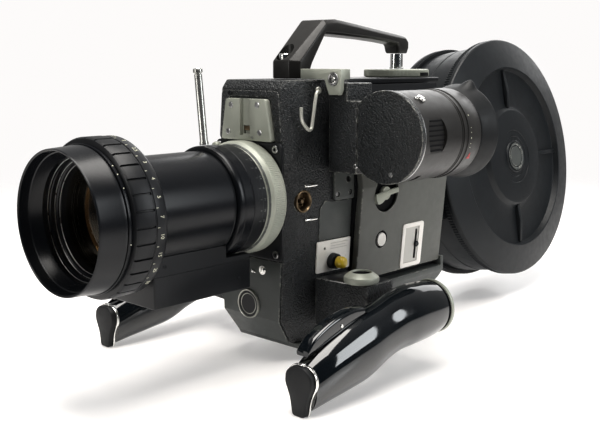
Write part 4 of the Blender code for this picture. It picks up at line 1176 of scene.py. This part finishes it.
def build_magazine():
    wall = DRUM_R - 3.5
    drum = [(96.4, -24.5), (DRUM_R, -23.9), (DRUM_R, -0.9), (96.5, -0.4), (96.5, 0.4),
        (DRUM_R, 0.9), (DRUM_R, 23.9), (96.4, 24.5), (wall, 24.5), (wall, 1.5), (6, 1.5), (6, -1.5),
        (wall, -1.5), (wall, -24.5)]
    mouth = BODY_REAR + 0.5 - DRUM_Y
    throat = [(mouth, -42), (mouth, 46)]
    for step in range(9):
        z = 46 - step * 11
        throat.append((-math.sqrt(95.25**2 - z**2), z))
    case = joined(turned(drum, ORIGIN, ACROSS, 192), rounded(prism(throat, "X", -19, 19), 0.6, 2, 40))
    case = carved(case, box((-9, mouth - 5, -12), (9, -90, 12)))
    piece("drum_case", on_drum(case), "drum", "magazine", "magazine_case", angle=28)

    face = 24.8
    cover = [(0, 33.6), (12.2, 33.6), (12.9, 33.9), (13.6, 33.6), (14, 32.6), (17, 32.4),
        (17.4, 32.8), (22.2, 32.8), (22.6, 33.3), (38, 33.2), (39.6, 32.9), (40.6, 32), (43, 29.6),
        (45.5, 28.9), (72, 28.6), (73.6, 29), (74.8, 31.6), (75.4, 33.2), (76.3, 33.5),
        (77.4, 33.2), (98.6, 28.9), (99.8, 28.3), (RIM_R, 27.2), (RIM_R, 25), (100, 24.6),
        (100, 24.2), (RIM_R, 23.8), (RIM_R, 20.4), (100, 20), (DRUM_R + 0.3, 20),
        (DRUM_R + 0.3, face), (0, face)]
    for name, way, core in (("left", 1, "supply"), ("right", -1, "takeup")):
        disc = turned(cover, ORIGIN, (way, 0, 0), 480, knurl(480, 0.7, 100.3, 0, 23.9))
        piece(f"drum_cover_{name}", on_drum(disc), "drum", f"cover_{name}",
            f"magazine_cover_{name}", angle=24)
        ribs = []
        upright = Matrix.Rotation(math.radians(90), 4, "Y") @ Matrix.Scale(-1, 4, (1, 0, 0))
        for turn in (90, 180, 270, 0):
            blade = prism([(41, 28), (41.5, 31.6), (55, 32.6), (73.8, 30.4), (75, 28)], "Y", -1.7, 1.7)
            blade = moved(rounded(blade, 0.5, 2), upright)
            ribs.append(moved(blade, Matrix.Rotation(math.radians(turn), 4, "X")))
        mesh = merged(*ribs)
        if way < 0:
            mesh = moved(mesh, Matrix.Scale(-1, 4, (1, 0, 0)))
        piece(f"cover_ribs_{name}", on_drum(mesh), "drum", f"cover_{name}")
        hub = turned([(11, 33.6), (11.6, 34.2), (10.4, 34.2), (9.6, 33.7)], ORIGIN, (way, 0, 0), 96)
        cap = turned([(0, 33.5), (8.8, 33.5), (8.4, 33.95), (0, 33.95)], ORIGIN, (way, 0, 0), 96)
        piece(f"hub_ring_{name}", on_drum(merged(hub, cap)), "paint", f"cover_{name}")
        keep(f"{core}_core", "steel")


# Stage

BRIGHT_SIDE = (-0.62, 0.70, 0.35)  # the way from which the studio's soft light comes
BACKDROP = (0.985, 0.970, 0.962, 1)
FLOOR_Z = -8.7


def area_light(name, at, aim, wide, high, watts, colour=(1, 1, 1)):
    lamp = bpy.data.lights.new(name, "AREA")
    lamp.shape = "RECTANGLE"
    lamp.size = wide
    lamp.size_y = high
    lamp.energy = watts
    lamp.color = colour
    made = bpy.data.objects.new(name, lamp)
    made.location = at
    made.rotation_euler = (Vector(aim) - Vector(at)).to_track_quat("-Z", "Y").to_euler()
    bpy.context.scene.collection.objects.link(made)
    made.visible_camera = False


def build_stage():
    scene = bpy.context.scene
    lens = bpy.data.cameras.new("camera_view")
    lens.lens = 53.86
    lens.sensor_width = 36
    lens.clip_end = 50
    view = bpy.data.objects.new("camera_view", lens)
    view.location = (0.42359, -0.45123, 0.18819)
    view.rotation_euler = (math.radians(90 - 9.89), 0, math.radians(43.23))
    scene.collection.objects.link(view)
    scene.camera = view

    world = bpy.data.worlds.new("studio")
    scene.world = world
    world.use_nodes = True
    node, link = wiring(world.node_tree)
    turn = node("ShaderNodeVectorMath", operation="DOT_PRODUCT")
    turn.inputs[1].default_value = BRIGHT_SIDE
    link(node("ShaderNodeTexCoord").outputs["Generated"], turn)
    remap = node("ShaderNodeMapRange", From_Min=-1)
    link(turn.outputs["Value"], remap)
    ramp = node("ShaderNodeValToRGB")
    dim, bright = ramp.color_ramp.elements
    dim.position = 0.42
    dim.color = (0.020, 0.024, 0.030, 1)
    bright.position = 0.95
    bright.color = (0.62, 0.61, 0.60, 1)
    link(remap.outputs[0], ramp)
    mix = node("ShaderNodeMix", data_type="RGBA")
    mix.inputs[7].default_value = BACKDROP
    link(node("ShaderNodeLightPath").outputs["Is Camera Ray"], mix)
    link(ramp.outputs[0], mix, 6)
    link(mix.outputs[2], world.node_tree.nodes["Background"], "Color")

    area_light("top", (0.10, -0.05, 1.20), (0, 0, 0.1), 0.8, 1, 24, (1, 0.97, 0.93))
    area_light("left", (1.15, 0.55, 0.60), (0, 0.05, 0.08), 0.4, 0.7, 7, (0.95, 0.98, 1))
    area_light("front", (-0.40, -1.35, 0.50), (0, -0.2, 0.10), 0.35, 0.6, 6, (1, 0.98, 0.95))
    area_light("back", (-0.4, 1.3, 0.75), (0, 0.1, 0.1), 1.4, 0.8, 9)

    floor = bpy.data.meshes.new("floor")
    floor.from_pydata([(-9, -9, 0), (9, -9, 0), (9, 9, 0), (-9, 9, 0)], [], [(0, 1, 2, 3)])
    ground = bpy.data.objects.new("floor", floor)
    ground.location.z = FLOOR_Z * MM
    scene.collection.objects.link(ground)
    paper = bpy.data.materials.new("floor")
    paper.use_nodes = True
    node, link = wiring(paper.node_tree)
    surface = paper.node_tree.nodes["Principled BSDF"]
    surface.inputs["Base Color"].default_value = (0.90, 0.885, 0.875, 1)
    surface.inputs["Emission Color"].default_value = (1, 0.985, 0.975, 1)
    surface.inputs["Emission Strength"].default_value = 0.30
    surface.inputs["Roughness"].default_value = 0.22
    surface.inputs["Specular IOR Level"].default_value = 0.35
    far = node("ShaderNodeVectorMath", operation="LENGTH")
    fade = node("ShaderNodeMapRange", interpolation_type="SMOOTHSTEP", From_Min=0.30, From_Max=1.10)
    blend = node("ShaderNodeMixShader")
    link(node("ShaderNodeTexCoord").outputs["Object"], far)
    link(far.outputs["Value"], fade)
    link(fade.outputs[0], blend)
    link(surface.outputs[0], blend, 1)
    link(node("ShaderNodeBsdfTransparent").outputs[0], blend, 2)
    link(blend.outputs[0], paper.node_tree.nodes["Material Output"], "Surface")
    floor.materials.append(paper)
    scene.view_settings.view_transform = "Standard"
    scene.view_settings.gamma = 0.85


build_lens()
build_servo()
build_front()
build_body()
build_handle()
build_finder()
for side in (1, -1):
    build_grip(side)
build_magazine()
build_stage()
